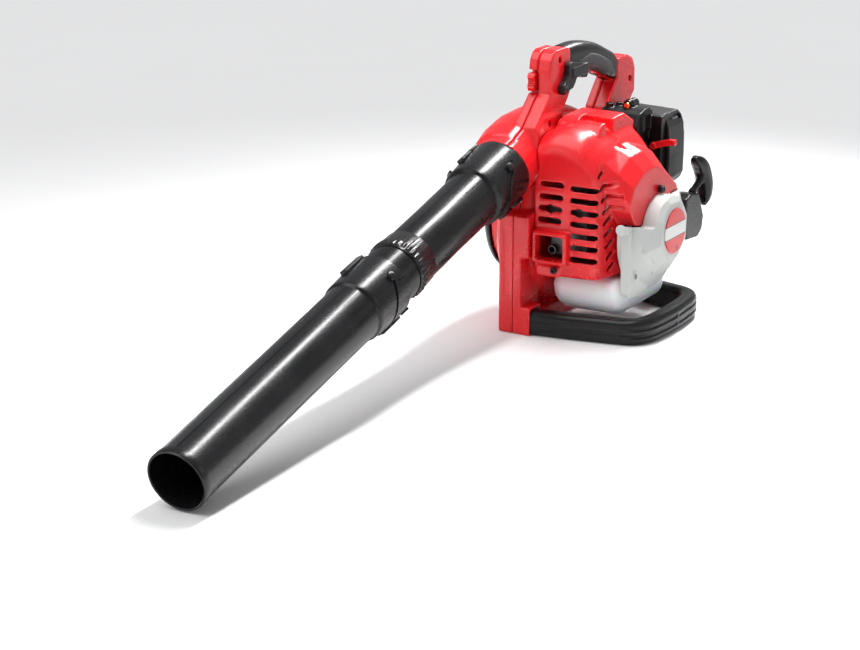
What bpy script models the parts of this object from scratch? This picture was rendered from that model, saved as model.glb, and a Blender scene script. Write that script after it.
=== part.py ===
"""Hand-held petrol leaf blower, modelled as an assembly of separate pieces.

Frame: metres, +Z up, -Y is the way the air blows, +X points out of the
recoil starter.  The origin is the middle of the underside of the foot bar,
straight below the crankshaft axis.
"""
import math

import bmesh
import bpy
from mathutils import Matrix, Vector

# ------------------------------------------------------------------ dimensions
GAP = 0.0003                 # clearance kept between touching pieces
CRANK_Z = 0.130              # height of the crankshaft above the ground

# blower tube: distances along its axis are counted from the outlet
TUBE_TILT = math.radians(13.9)
TUBE_YAW = math.radians(0.85)
OUTLET = Vector((-0.0073, -0.8239, 0.0368))
OUTLET_R = 0.0363
END_TUBE_R = 0.0359
MIDDLE_TUBE_R = 0.0350
SLIP_R = 0.0338
SPIGOT_R = 0.0335
BELL_BORE_R = 0.0345
TUBE_WALL = 0.0025
END_BELL = (0.360, 0.425)
SERRATED_RING = (0.457, 0.493)
SLIP_END = 0.378
COLLAR = (0.649, 0.7215)
SPIGOT_END = 0.665
NECK_R = 0.0405
NECK_TOP = 0.86

# scroll of the fan case
SCROLL_MAX_R = 0.1425
SCROLL_MIN_R = 0.104
SCROLL_SPAN = 283.9          # degrees from the outlet tangent to the tongue
SCROLL_START = 103.9         # degrees from +Y towards +Z
SCROLL_SQUARENESS = 0.55     # below one the scroll is squarer than round
CASE_ENGINE_X = 0.0185
CASE_INTAKE_X = (-0.0535, -0.042)
CASE_WALL = 0.003
SEAM_X = -0.003
INTAKE_FACE_X = -0.056
INTAKE_RING_R = 0.078
INTAKE_HOLE_R = 0.070

# feet and base loop
FOOT_HALF_X = 0.0215
FOOT_Y = 0.115
FOOT_DEPTH = 0.030
FOOT_H = 0.036
LOOP_H = 0.032
LOOP_W = 0.022
LOOP_CORNER = (0.1535, 0.077)
LOOP_BOW_X = 0.162

# handle
HANDLE_HALF_X = 0.0155
GRIP_HALF_H = 0.0185
GRIP_HALF_W = 0.0150
GRIP_LINE = ((-0.010, 0.3300), (0.030, 0.3290), (0.070, 0.3210), (0.108, 0.3060), (0.146, 0.2900))

HANDLE_SCREWS = (("handle_screw_upper", -0.030, 0.336), ("handle_screw_lower", -0.060, 0.262),
                 ("handle_screw_rear", 0.166, 0.276))
TRIGGER_PIVOT = (-0.031, 0.2995)
SWITCH_X = (-0.0140, -0.0045)

# engine
ENGINE_X = 0.057             # cylinder axis
CRANK_THROW = 0.014
ROD_LENGTH = 0.048
BORE_R = 0.0170
PISTON_R = 0.0166
SHAFT_R = 0.006
CASE_TOP_Z = 0.1660          # top of the crankcase
HEAD_Z = 0.2260              # top of the cylinder
WEB_R = 0.022
WEB_GAP = 0.0029             # half the gap between the two crank webs

# recoil starter
PULLEY_X = 0.130
ROPE_R = 0.0018
ROPE_LINE_R = 0.036
ROPE_TILT = math.radians(25.0)
STARTER_R = 0.078
STARTER_BOTTOM_Z = 0.0785
STARTER_WALL = 0.0025
LEG_X = 0.1295
ROPE_START, ROPE_STOP = 0.045, 0.1150
GRIP_NECK = 0.1153
GRIP_BAR = 0.1500

# covers
COVER_SECTIONS = (           # x, front y, rear y, bottom z, top z
    (0.0192, -0.1000, 0.0500, 0.0760, 0.2540),
    (0.0450, -0.0985, 0.0505, 0.0760, 0.2635),
    (0.0750, -0.0970, 0.0500, 0.0770, 0.2580),
    (0.0980, -0.0945, 0.0480, 0.0780, 0.2390),
    (0.1090, -0.0900, 0.0460, 0.0790, 0.2250),
    (0.1160, -0.0800, 0.0440, 0.0810, 0.2110),
    (0.1200, -0.0660, 0.0420, 0.0860, 0.2000),
)
COVER_TOP_ROUND = 0.034
COVER_LOW_ROUND = 0.010
COVER_WALL = 0.0022
COWL_X = (0.1050, 0.1390)    # bulge of the cover over the starter housing
COWL_OUTLINE = (
    (-0.086, 0.1520), (-0.046, 0.1430), (-0.025, 0.1450), (-0.014, 0.1505), (0.005, 0.1600), (0.030, 0.1660),
    (0.058, 0.1670), (0.058, 0.1720), (0.013, 0.2050), (-0.010, 0.2120), (-0.040, 0.2100), (-0.068, 0.1960),
    (-0.086, 0.1740),
)
COWL_HOLLOW = (
    (-0.082, 0.1555), (-0.046, 0.1465), (-0.018, 0.1520), (0.004, 0.1630), (0.040, 0.1695), (0.040, 0.1800),
    (0.011, 0.2020), (-0.010, 0.2090), (-0.040, 0.2070), (-0.066, 0.1935), (-0.082, 0.1725),
)
HUB_R = 0.044                # the starter's hub stands in front of that bulge

ROUND = 24                   # sides of large round pieces
SMALL_ROUND = 12             # sides of small round pieces
HEX = math.cos(math.pi / 6)  # flat-to-corner ratio of a hexagon
SHARP = math.radians(35.0)


# ------------------------------------------------------------------- materials
def material(name, colour, roughness, metallic=0.0, alpha=1.0):
    mat = bpy.data.materials.new(name)
    mat.use_nodes = True
    shader = mat.node_tree.nodes["Principled BSDF"]
    shader.inputs["Base Color"].default_value = (*colour, 1.0)
    shader.inputs["Roughness"].default_value = roughness
    shader.inputs["Metallic"].default_value = metallic
    shader.inputs["Alpha"].default_value = alpha
    return mat


def make_materials():
    return {
        "red": material("red_plastic", (0.72, 0.022, 0.03), 0.3),
        "black": material("black_plastic", (0.012, 0.012, 0.013), 0.35),
        "tube": material("tube_plastic", (0.010, 0.010, 0.011), 0.25),
        "rubber": material("grip_rubber", (0.02, 0.02, 0.02), 0.7),
        "grey": material("grey_plastic", (0.52, 0.54, 0.52), 0.4),
        "tank": material("tank_plastic", (0.78, 0.79, 0.80), 0.35, 0.0, 0.8),
        "steel": material("steel", (0.45, 0.45, 0.46), 0.35, 1.0),
        "dark_steel": material("dark_steel", (0.08, 0.08, 0.085), 0.45, 1.0),
        "aluminium": material("cast_aluminium", (0.62, 0.62, 0.63), 0.45, 1.0),
        "brass": material("brass", (0.65, 0.45, 0.18), 0.3, 1.0),
        "foam": material("filter_foam", (0.09, 0.09, 0.10), 0.95),
        "badge": material("badge", (0.70, 0.03, 0.04), 0.3),
        "rope": material("rope", (0.75, 0.74, 0.70), 0.8),
    }


# --------------------------------------------------------------- mesh building
def new_object(name, bm):
    bmesh.ops.recalc_face_normals(bm, faces=bm.faces)
    mesh = bpy.data.meshes.new(name)
    bm.to_mesh(mesh)
    bm.free()
    obj = bpy.data.objects.new(name, mesh)
    bpy.context.scene.collection.objects.link(obj)
    return obj


def box(lo, hi, bevel=0.0, segments=2):
    bm = bmesh.new()
    bmesh.ops.create_cube(bm, size=1.0)
    size = Vector(hi) - Vector(lo)
    centre = (Vector(hi) + Vector(lo)) / 2
    place = Matrix.Translation(centre) @ Matrix.Diagonal((*size, 1.0))
    bmesh.ops.transform(bm, matrix=place, verts=bm.verts)
    if bevel:
        bmesh.ops.bevel(bm, geom=bm.edges, offset=bevel, segments=segments, profile=0.5, affect="EDGES")
    return new_object("box", bm)


def loft(rings, cyclic=False):
    """Skin a list of point rings; the ends are capped unless it is cyclic."""
    bm = bmesh.new()
    loops = [[bm.verts.new(p) for p in ring] for ring in rings]
    count = len(loops[0])
    pairs = list(zip(loops, loops[1:]))
    if cyclic:
        pairs.append((loops[-1], loops[0]))
    for first, second in pairs:
        for i in range(count):
            j = (i + 1) % count
            bm.faces.new((first[i], first[j], second[j], second[i]))
    if not cyclic:
        bm.faces.new(loops[0])
        bm.faces.new(loops[-1])
    return new_object("loft", bm)


def prism(outline, axis, lo, hi, bevel=0.0):
    """Extrude an outline of two coordinates along X, Y or Z."""
    index = "XYZ".index(axis)

    def point(pair, level):
        values = list(pair)
        values.insert(index, level)
        return Vector(values)

    obj = loft([[point(p, lo) for p in outline], [point(p, hi) for p in outline]])
    if bevel:
        bm = bmesh.new()
        bm.from_mesh(obj.data)
        sharp = [e for e in bm.edges if e.calc_face_angle(0.0) > SHARP]
        bmesh.ops.bevel(bm, geom=sharp, offset=bevel, segments=2, profile=0.5, affect="EDGES")
        bm.to_mesh(obj.data)
        bm.free()
    return obj


def axis_matrix(origin, direction, sideways=(1.0, 0.0, 0.0)):
    """Local +Z runs along direction, local +X as near sideways as it can."""
    z = Vector(direction).normalized()
    x = Vector(sideways)
    x = (x - z * x.dot(z)).normalized()
    y = z.cross(x)
    rotation = Matrix((x, y, z)).transposed().to_4x4()
    return Matrix.Translation(Vector(origin)) @ rotation


def lathe(profile, matrix, sides=ROUND, closed=True):
    """Turn a profile of (radius, height) points about local Z.

    closed: the profile is a loop, so the piece is a ring.  Otherwise the
    first and last points are joined to the axis by flat ends.
    """
    bm = bmesh.new()
    loops = []
    for step in range(sides):
        turn = 2 * math.pi * step / sides
        cos, sin = math.cos(turn), math.sin(turn)
        loops.append([bm.verts.new(matrix @ Vector((r * cos, r * sin, h))) for r, h in profile])
    count = len(profile)
    for step in range(sides):
        here, there = loops[step], loops[(step + 1) % sides]
        for i in range(count if closed else count - 1):
            j = (i + 1) % count
            bm.faces.new((here[i], here[j], there[j], there[i]))
    if not closed:
        bm.faces.new([loop[0] for loop in loops])
        bm.faces.new([loop[-1] for loop in loops])
    return new_object("lathe", bm)


def rod(start, end, radius, sides=SMALL_ROUND):
    start, end = Vector(start), Vector(end)
    side = (0.0, 0.0, 1.0) if abs((end - start).normalized().x) > 0.9 else (1.0, 0.0, 0.0)
    length = (end - start).length
    return lathe([(radius, 0.0), (radius, length)], axis_matrix(start, end - start, side), sides, False)


def ring(inner, outer, lo, hi, matrix, sides=ROUND):
    return lathe([(outer, hi), (outer, lo), (inner, lo), (inner, hi)], matrix, sides)


def along_x(x=0.0, y=0.0, z=CRANK_Z):
    """Local Z becomes +X, starting from a point; heights are then X values."""
    return axis_matrix((x, y, z), (1.0, 0.0, 0.0), (0.0, 0.0, 1.0))


def along_y(x, z, y=0.0):
    return axis_matrix((x, y, z), (0.0, 1.0, 0.0), (1.0, 0.0, 0.0))


def along_z(x, y, z=0.0):
    return axis_matrix((x, y, z), (0.0, 0.0, 1.0), (1.0, 0.0, 0.0))


def rounded_section(half_w, half_h, corner, segments=3, low_corner=None):
    """Counter-clockwise rounded rectangle; low_corner rounds its lower side."""
    points = []
    high_corner = corner
    for number, (sx, sy) in enumerate(((1, 1), (-1, 1), (-1, -1), (1, -1))):
        corner = low_corner if low_corner and sy < 0 else high_corner
        cx, cy = sx * (half_w - corner), sy * (half_h - corner)
        for step in range(segments + 1):
            turn = math.pi / 2 * (number + step / segments)
            points.append((cx + corner * math.cos(turn), cy + corner * math.sin(turn)))
    return points


def sweep(path, section, up):
    """Carry a flat section along a path, keeping its second axis near up."""
    rings = []
    last = len(path) - 1
    for i, here in enumerate(path):
        before = (here - path[i - 1]).normalized() if i > 0 else (path[1] - here).normalized()
        after = (path[i + 1] - here).normalized() if i < last else before
        tangent = (before + after).normalized()
        side = tangent.cross(up).normalized()
        rise = side.cross(tangent)
        stretch = 1.0 / max(0.5, tangent.dot(after))
        rings.append([here + side * (a * stretch) + rise * b for a, b in section])
    return loft(rings)


def smooth_path(points, steps):
    """Catmull-Rom curve through points, with a number of steps per span."""
    pts = [Vector(p) for p in points]
    pts = [pts[0] * 2 - pts[1]] + pts + [pts[-1] * 2 - pts[-2]]
    path = []
    for i in range(1, len(pts) - 2):
        p0, p1, p2, p3 = pts[i - 1:i + 3]
        for step in range(steps):
            t = step / steps
            cubic = (p3 - p0 + (p1 - p2) * 3) * t ** 3
            square = (p0 * 2 - p1 * 5 + p2 * 4 - p3) * t ** 2
            path.append((p1 * 2 + (p2 - p0) * t + square + cubic) / 2)
    path.append(pts[-2])
    return path


def cable(points, radius, steps=4):
    """Round cord, modelled as a bevelled curve with filled caps."""
    path = smooth_path(points, steps)
    curve = bpy.data.curves.new("cable", "CURVE")
    curve.dimensions = "3D"
    curve.bevel_depth = radius
    curve.bevel_resolution = 2
    curve.render_resolution_u = 0
    curve.use_fill_caps = True
    spline = curve.splines.new("POLY")
    spline.points.add(len(path) - 1)
    for item, place in zip(spline.points, path):
        item.co = (*place, 1.0)
    obj = bpy.data.objects.new("cable", curve)
    bpy.context.scene.collection.objects.link(obj)
    return obj


def boolean(base, tools, operation):
    """Combine base with each tool in turn and keep the result as its mesh."""
    for tool in tools:
        modifier = base.modifiers.new(operation.lower(), "BOOLEAN")
        modifier.operation = operation
        modifier.solver = "EXACT"
        modifier.object = tool
        graph = bpy.context.evaluated_depsgraph_get()
        mesh = bpy.data.meshes.new_from_object(base.evaluated_get(graph))
        base.modifiers.clear()
        base.data = mesh
        bpy.data.objects.remove(tool)
    return base


def unite(base, *tools):
    return boolean(base, tools, "UNION")


def cut(base, *tools):
    return boolean(base, tools, "DIFFERENCE")


def copy_of(obj):
    twin = obj.copy()
    twin.data = obj.data.copy()
    bpy.context.scene.collection.objects.link(twin)
    return twin


def merged(objects):
    """Several separate solids held in one object."""
    bm = bmesh.new()
    for obj in objects:
        bm.from_mesh(obj.data)
        bpy.data.objects.remove(obj)
    return new_object("group", bm)


def finish(obj, name, mat, origin=(0.0, 0.0, 0.0)):
    """Clean the mesh, name the piece and put its origin on its own axis."""
    origin = Vector(origin)
    if obj.type == "MESH":
        bm = bmesh.new()
        bm.from_mesh(obj.data)
        bmesh.ops.remove_doubles(bm, verts=bm.verts, dist=0.000002)
        bmesh.ops.dissolve_degenerate(bm, edges=bm.edges, dist=0.000002)
        bmesh.ops.dissolve_limit(bm, angle_limit=math.radians(0.6), verts=bm.verts, edges=bm.edges)
        bmesh.ops.triangulate(bm, faces=[f for f in bm.faces if len(f.verts) > 4])
        bm.to_mesh(obj.data)
        bm.free()
        obj.data.transform(Matrix.Translation(-origin))
        obj.data.shade_smooth()
        obj.data.set_sharp_from_angle(angle=SHARP)
        obj.location = origin
    obj.name = name
    obj.data.name = name
    obj.data.materials.clear()
    obj.data.materials.append(mat)
    return obj


# ---------------------------------------------------------------- blower tube
def tube_direction():
    """Unit vector along the blower tube, towards the outlet."""
    flat = math.cos(TUBE_TILT)
    return Vector((math.sin(TUBE_YAW) * flat, -math.cos(TUBE_YAW) * flat, -math.sin(TUBE_TILT)))


def tube_frame():
    """Local +Z runs from the outlet up the tube, local +X is sideways."""
    return axis_matrix(OUTLET, -tube_direction())


def make_end_pipe(mats):
    frame = tube_frame()
    low, high = END_BELL
    profile = [
        (OUTLET_R - TUBE_WALL, 0.0), (END_TUBE_R - TUBE_WALL, low + 0.010),
        (BELL_BORE_R, low + 0.013), (BELL_BORE_R, high),
        (0.0399, high), (0.0402, high - 0.006), (0.0388, low + 0.008), (0.0385, low),
        (END_TUBE_R, low - 0.002), (OUTLET_R, 0.0),
    ]
    body = lathe(profile, frame, ROUND)
    lugs = []
    for turn in (-20.0, 160.0):
        spin = frame @ Matrix.Rotation(math.radians(turn), 4, "Z")
        lug = box((-0.008, 0.0370, low + 0.018), (0.008, 0.0440, high - 0.004), 0.0015, 1)
        lug.data.transform(spin)
        lugs.append(lug)
    unite(body, *lugs)
    finish(body, "end_pipe", mats["tube"], OUTLET)


def make_middle_pipe(mats):
    frame = tube_frame()
    low, high = COLLAR
    profile = [
        (SLIP_R - TUBE_WALL, SLIP_END), (SLIP_R - TUBE_WALL, low + 0.005),
        (BELL_BORE_R, low + 0.009), (BELL_BORE_R, high),
        (0.0415, high), (0.0420, high - 0.006), (0.0398, low + 0.010), (0.0396, low),
        (MIDDLE_TUBE_R, low - 0.002), (MIDDLE_TUBE_R, END_BELL[1] + 0.004),
        (SLIP_R, END_BELL[1] + 0.002), (SLIP_R, SLIP_END),
    ]
    body = lathe(profile, frame, ROUND)
    lugs = []
    for turn in (-25.0, 155.0):
        spin = frame @ Matrix.Rotation(math.radians(turn), 4, "Z")
        lug = box((-0.008, 0.0375, low + 0.012), (0.008, 0.0450, high - 0.006), 0.0015, 1)
        lug.data.transform(spin)
        lugs.append(lug)
    unite(body, *lugs)
    finish(body, "middle_pipe", mats["tube"], OUTLET)


def make_locking_ring(mats):
    """Serrated hand ring that clamps the two tubes together."""
    low, high = SERRATED_RING
    frame = tube_frame()
    teeth = 20
    rings = []
    for height, deep, tall in ((low, 0.0368, 0.0368), (low + 0.003, 0.0374, 0.0386),
                               (high - 0.003, 0.0374, 0.0386), (high, 0.0366, 0.0366)):
        ring_points = []
        for step in range(teeth * 2):
            turn = math.pi * step / teeth
            radius = tall if step % 2 else deep
            ring_points.append(frame @ Vector((radius * math.cos(turn), radius * math.sin(turn), height)))
        rings.append(ring_points)
    body = loft(rings)
    bore = lathe([(MIDDLE_TUBE_R + GAP, low - 0.01), (MIDDLE_TUBE_R + GAP, high + 0.01)], frame, ROUND, False)
    finish(cut(body, bore), "locking_ring", mats["tube"], OUTLET)


def make_pin(mats, name, height, radius, turn):
    """Bayonet pin with its head just proud of the bell it locks."""
    spin = tube_frame() @ Matrix.Rotation(math.radians(turn), 4, "Z")
    head = lathe([(0.0042, radius + GAP), (0.0042, radius + 0.0028), (0.0030, radius + 0.0040)],
                 spin @ axis_matrix((0.0, 0.0, height), (1.0, 0.0, 0.0), (0.0, 0.0, 1.0)), SMALL_ROUND, False)
    finish(head, name, mats["black"])


# ------------------------------------------------------------------- fan case
def scroll_radius(turn, wall):
    share = min(turn / SCROLL_SPAN, 1.0)
    return SCROLL_MAX_R + (SCROLL_MIN_R - SCROLL_MAX_R) * share - wall


def scroll_solid(wall):
    """The scroll, grown or shrunk by a wall thickness; a full turned disc."""
    steps, arc = 30, 5
    rounding = 0.034
    rings = []
    for step in range(steps):
        turn = 360.0 * step / steps
        angle = math.radians(SCROLL_START - turn)
        out = Vector((0.0, math.cos(angle), math.sin(angle)))
        share = min(turn / SCROLL_SPAN, 1.0)
        left = CASE_INTAKE_X[0] + (CASE_INTAKE_X[1] - CASE_INTAKE_X[0]) * share + wall
        right = CASE_ENGINE_X - wall
        radius = scroll_radius(turn, wall)
        half = (right - left) / 2
        middle = (right + left) / 2
        core = radius - rounding
        ring_points = []
        for number in range(arc + 1):
            bend = math.pi * number / arc
            place = out * (core + rounding * math.sin(bend) ** SCROLL_SQUARENESS)
            ring_points.append(place + Vector((middle - half * math.cos(bend), 0.0, CRANK_Z)))
        rings.append(ring_points)
    bm = bmesh.new()
    loops = [[bm.verts.new(p) for p in ring_points] for ring_points in rings]
    for here, there in zip(loops, loops[1:] + loops[:1]):
        for i in range(arc):
            bm.faces.new((here[i], here[i + 1], there[i + 1], there[i]))
    for end, x in ((0, CASE_INTAKE_X[0] + wall), (arc, CASE_ENGINE_X - wall)):
        hub = bm.verts.new((x, 0.0, CRANK_Z))
        for here, there in zip(loops, loops[1:] + loops[:1]):
            bm.faces.new((hub, here[end], there[end]))
    return new_object("scroll", bm)


def neck_solid(grow):
    """Flared mouth of the scroll that the blower tube pushes on to."""
    frame = Matrix.Translation((-0.0050, 0.0, 0.0)) @ tube_frame()
    radius = NECK_R + grow
    straight = lathe([(radius, COLLAR[1] + GAP), (radius, NECK_TOP - 0.05)], tube_frame(), ROUND, False)
    profile = [(0.0360, 0.7300), (0.0430, 0.7400), (0.0462, 0.7600), (0.0462, 0.7900), (0.0400, 0.8250),
               (0.0250, NECK_TOP)]
    flare = lathe([(r + grow, height) for r, height in profile], frame, ROUND, False)
    return unite(straight, flare)


def make_case(mats):
    """Fan case with neck, feet and handle, split on the seam plane."""
    frame = tube_frame()
    body = scroll_solid(0.0)
    neck = neck_solid(0.0)
    spigot = lathe([(SPIGOT_R, SPIGOT_END), (SPIGOT_R, COLLAR[1] + 0.01)], frame, ROUND, False)
    intake = lathe([(INTAKE_RING_R, INTAKE_FACE_X), (INTAKE_RING_R, -0.03)], along_x(), ROUND, False)

    pillar_outline = [(-0.115, 0.0), (-0.115, 0.153), (-0.085, 0.160), (-0.060, 0.120), (-0.070, 0.0)]
    front_pillar = prism(pillar_outline, "X", -0.0235, 0.008, 0.003)
    rear_outline = [(0.115, 0.0), (0.080, 0.0), (0.080, 0.100), (0.112, 0.110)]
    rear_pillar = prism(rear_outline, "X", -0.0235, 0.008, 0.003)
    front_foot = box((-FOOT_HALF_X, -FOOT_Y, 0.0), (FOOT_HALF_X, FOOT_DEPTH - FOOT_Y, FOOT_H), 0.002, 1)
    rear_foot = box((-FOOT_HALF_X, FOOT_Y - FOOT_DEPTH, 0.0), (FOOT_HALF_X, FOOT_Y, FOOT_H), 0.002, 1)
    foot_bar = box((-0.015, -FOOT_Y + 0.01, 0.0), (0.015, FOOT_Y - 0.01, 0.022))

    front_post_outline = [
        (-0.096, 0.225), (-0.094, 0.262), (-0.056, 0.297), (-0.057, 0.325), (-0.052, 0.343), (-0.040, 0.350),
        (-0.015, 0.3495), (-0.003, 0.345), (-0.003, 0.290), (-0.022, 0.268), (-0.020, 0.225),
    ]
    front_post = prism(front_post_outline, "X", -HANDLE_HALF_X, HANDLE_HALF_X, 0.003)
    rear_post_outline = [
        (0.092, 0.200), (0.098, 0.250), (0.128, 0.283), (0.128, 0.309), (0.158, 0.309), (0.173, 0.302),
        (0.180, 0.288), (0.180, 0.257), (0.162, 0.242), (0.128, 0.212), (0.110, 0.180),
    ]
    rear_post = prism(rear_post_outline, "X", -HANDLE_HALF_X, HANDLE_HALF_X, 0.003)
    bar = handle_bar(0.0)
    unite(body, neck, intake, front_pillar, rear_pillar, front_foot, rear_foot, foot_bar, front_post,
          rear_post, bar, spigot)

    hollow = scroll_solid(CASE_WALL)
    bore = lathe([(SPIGOT_R - TUBE_WALL, SPIGOT_END - 0.01), (SPIGOT_R - TUBE_WALL, NECK_TOP - 0.03)],
                 frame, ROUND, False)
    intake_hole = rod((INTAKE_FACE_X - 0.01, 0.0, CRANK_Z), (-0.03, 0.0, CRANK_Z), INTAKE_HOLE_R, ROUND)
    shaft_hole = rod((0.0, 0.0, CRANK_Z), (0.03, 0.0, CRANK_Z), SHAFT_R + 0.004)
    pocket = box((SWITCH_X[0] - 0.0006, -0.0700, 0.2985), (SWITCH_X[1] + 0.0006, -0.0480, 0.3235))
    pin_hole = rod((0.0080, *TRIGGER_PIVOT), (0.0300, *TRIGGER_PIVOT), 0.0025 + GAP)
    cut(body, hollow, bore, intake_hole, shaft_hole, pocket, pin_hole, case_screw_holes())
    socket_section = rounded_section(LOOP_W / 2 + GAP, LOOP_H / 2 + GAP, 0.004)
    socket = sweep(loop_path(), socket_section, Vector((0, 0, 1)))
    cut(body, socket)

    big = 0.5
    intake_half = copy_of(body)
    cut(intake_half, box((SEAM_X - GAP / 2, -big, -big), (big, big, big)))
    cut(body, box((-big, -big, -big), (SEAM_X + GAP / 2, big, big)))
    finish(intake_half, "case_intake_half", mats["red"])
    finish(body, "case_engine_half", mats["red"])


def handle_bar(grow):
    """Red core that the rubber grip is fitted over."""
    path = [Vector((0.0, y, z - 0.0060)) for y, z in GRIP_LINE]
    return sweep(path, rounded_section(0.0095 + grow, 0.0120 + grow, 0.004), Vector((0, 0, 1)))


def case_screw_holes():
    holes = [rod((0.002, y, z), (0.05, y, z), 0.0042) for _, y, z in HANDLE_SCREWS]
    return merged(holes)


def make_handle_screws(mats):
    """Screws that hold the case halves together, heads sunk in the engine side."""
    for name, y, z in HANDLE_SCREWS:
        screw = lathe([(0.0020, 0.0025), (0.0020, 0.0045), (0.0037, 0.0045), (0.0037, 0.0068)],
                      along_x(0.0, y, z), 12, False)
        finish(screw, name, mats["dark_steel"])


def make_intake_guard(mats):
    """Slotted dome over the air intake."""
    face = INTAKE_FACE_X - GAP
    outer = [(0.0805, face), (0.0805, -0.0600), (0.0765, -0.0660), (0.0560, -0.0720), (0.0200, -0.0755)]
    inner = [(0.0200, -0.0730), (0.0550, -0.0695), (0.0740, -0.0640), (0.0745, face)]
    dome = lathe([(0.0010, -0.0758)] + list(reversed(outer)) + list(reversed(inner)) + [(0.0010, -0.0733)],
                 along_x(), ROUND, True)
    hub = rod((-0.0740, 0.0, CRANK_Z), (-0.0765, 0.0, CRANK_Z), 0.014)
    unite(dome, hub)
    slots = []
    count = 12
    for step in range(count):
        spin = Matrix.Rotation(2 * math.pi * (step + 0.5) / count, 4, "X")
        slot = box((-0.09, -0.0055, 0.026), (-0.0585, 0.0055, 0.068))
        slot.data.transform(Matrix.Translation((0.0, 0.0, CRANK_Z)) @ spin)
        slots.append(slot)
    finish(cut(dome, merged(slots)), "intake_guard", mats["black"])


def make_fan(mats):
    """Centrifugal impeller: back plate, hub and backward-leaning blades."""
    plate_lo, plate_hi = -0.0120, -0.0090
    body = lathe([(SHAFT_R + GAP, plate_hi + 0.004), (0.018, plate_hi + 0.004), (0.020, plate_hi),
                  (0.084, plate_hi), (0.084, plate_lo), (0.024, plate_lo), (0.018, -0.033),
                  (SHAFT_R + GAP, -0.033)], along_x(), ROUND)
    blades = []
    count = 12
    for number in range(count):
        front, back = [], []
        for step in range(4):
            share = step / 3
            radius = 0.036 + 0.045 * share
            turn = 2 * math.pi * number / count + 0.55 * share
            for side, line in ((-0.0011, front), (0.0011, back)):
                lean = turn + side / radius
                line.append((radius * math.cos(lean), CRANK_Z + radius * math.sin(lean)))
        blades.append(prism(front + back[::-1], "X", -0.0340, plate_lo + 0.001))
    unite(body, merged(blades))
    finish(body, "fan_impeller", mats["black"], (0.0, 0.0, CRANK_Z))


# --------------------------------------------------------------------- engine
def make_crank(mats):
    """Built-up crankshaft: two halves with their webs, and the pin on the rod."""
    axis = (0.0, 0.0, CRANK_Z)
    inner = ENGINE_X - WEB_GAP
    fan_side = lathe([(SHAFT_R, -0.046), (SHAFT_R, inner - 0.0065), (WEB_R, inner - 0.0065), (WEB_R, inner)],
                     along_x(), ROUND, False)
    finish(fan_side, "crankshaft_fan_half", mats["steel"], axis)
    inner = ENGINE_X + WEB_GAP
    profile = [(WEB_R, inner), (WEB_R, inner + 0.0065), (SHAFT_R, inner + 0.0065), (SHAFT_R, 0.1185)]
    starter_side = lathe(profile, along_x(), ROUND, False)
    finish(starter_side, "crankshaft_starter_half", mats["steel"], axis)

    nut = ring((SHAFT_R + GAP) / HEX, 0.0110, -0.0400, -0.0335, along_x(), 6)
    finish(nut, "fan_nut", mats["steel"], axis)
    nut = ring((SHAFT_R + GAP) / HEX, 0.0100, 0.1135, 0.1180, along_x(), 6)
    finish(nut, "flywheel_nut", mats["steel"], axis)

    for name, x in (("bearing_fan_side", 0.0400), ("bearing_starter_side", 0.0675)):
        bearing = ring(SHAFT_R + GAP, 0.0130, x, x + 0.0065, along_x(), 18)
        finish(bearing, name, mats["steel"])


def make_piston_group(mats):
    pin_z = CRANK_Z + CRANK_THROW
    wrist_z = pin_z + ROD_LENGTH
    origin = (ENGINE_X, 0.0, wrist_z)
    half = WEB_GAP - 0.0005
    big_end = rod((ENGINE_X - half, 0.0, pin_z), (ENGINE_X + half, 0.0, pin_z), 0.0095, 24)
    small_end = rod((ENGINE_X - half, 0.0, wrist_z), (ENGINE_X + half, 0.0, wrist_z), 0.0072, 20)
    shank = box((ENGINE_X - half + 0.0004, -0.0032, pin_z), (ENGINE_X + half - 0.0004, 0.0032, wrist_z))
    unite(big_end, small_end, shank)
    cut(big_end, rod((0.04, 0.0, pin_z), (0.08, 0.0, pin_z), 0.0050 + GAP),
        rod((0.04, 0.0, wrist_z), (0.08, 0.0, wrist_z), 0.0040 + GAP))
    finish(big_end, "connecting_rod", mats["steel"], origin)

    crank_pin = rod((ENGINE_X - half, 0.0, pin_z), (ENGINE_X + half, 0.0, pin_z), 0.0050)
    finish(crank_pin, "crank_pin", mats["steel"], origin)
    wrist_pin = rod((ENGINE_X - 0.0150, 0.0, wrist_z), (ENGINE_X + 0.0150, 0.0, wrist_z), 0.0040)
    finish(wrist_pin, "wrist_pin", mats["steel"], origin)

    frame = along_z(ENGINE_X, 0.0, wrist_z)
    piston = lathe([(PISTON_R, -0.0120), (PISTON_R, 0.0150)], frame, 20, False)
    hollow = lathe([(0.0130, -0.0200), (0.0130, 0.0110)], frame, 20, False)
    cut(piston, hollow, rod((0.03, 0.0, wrist_z), (0.09, 0.0, wrist_z), 0.0040 + GAP))
    finish(piston, "piston", mats["aluminium"], origin)


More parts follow.
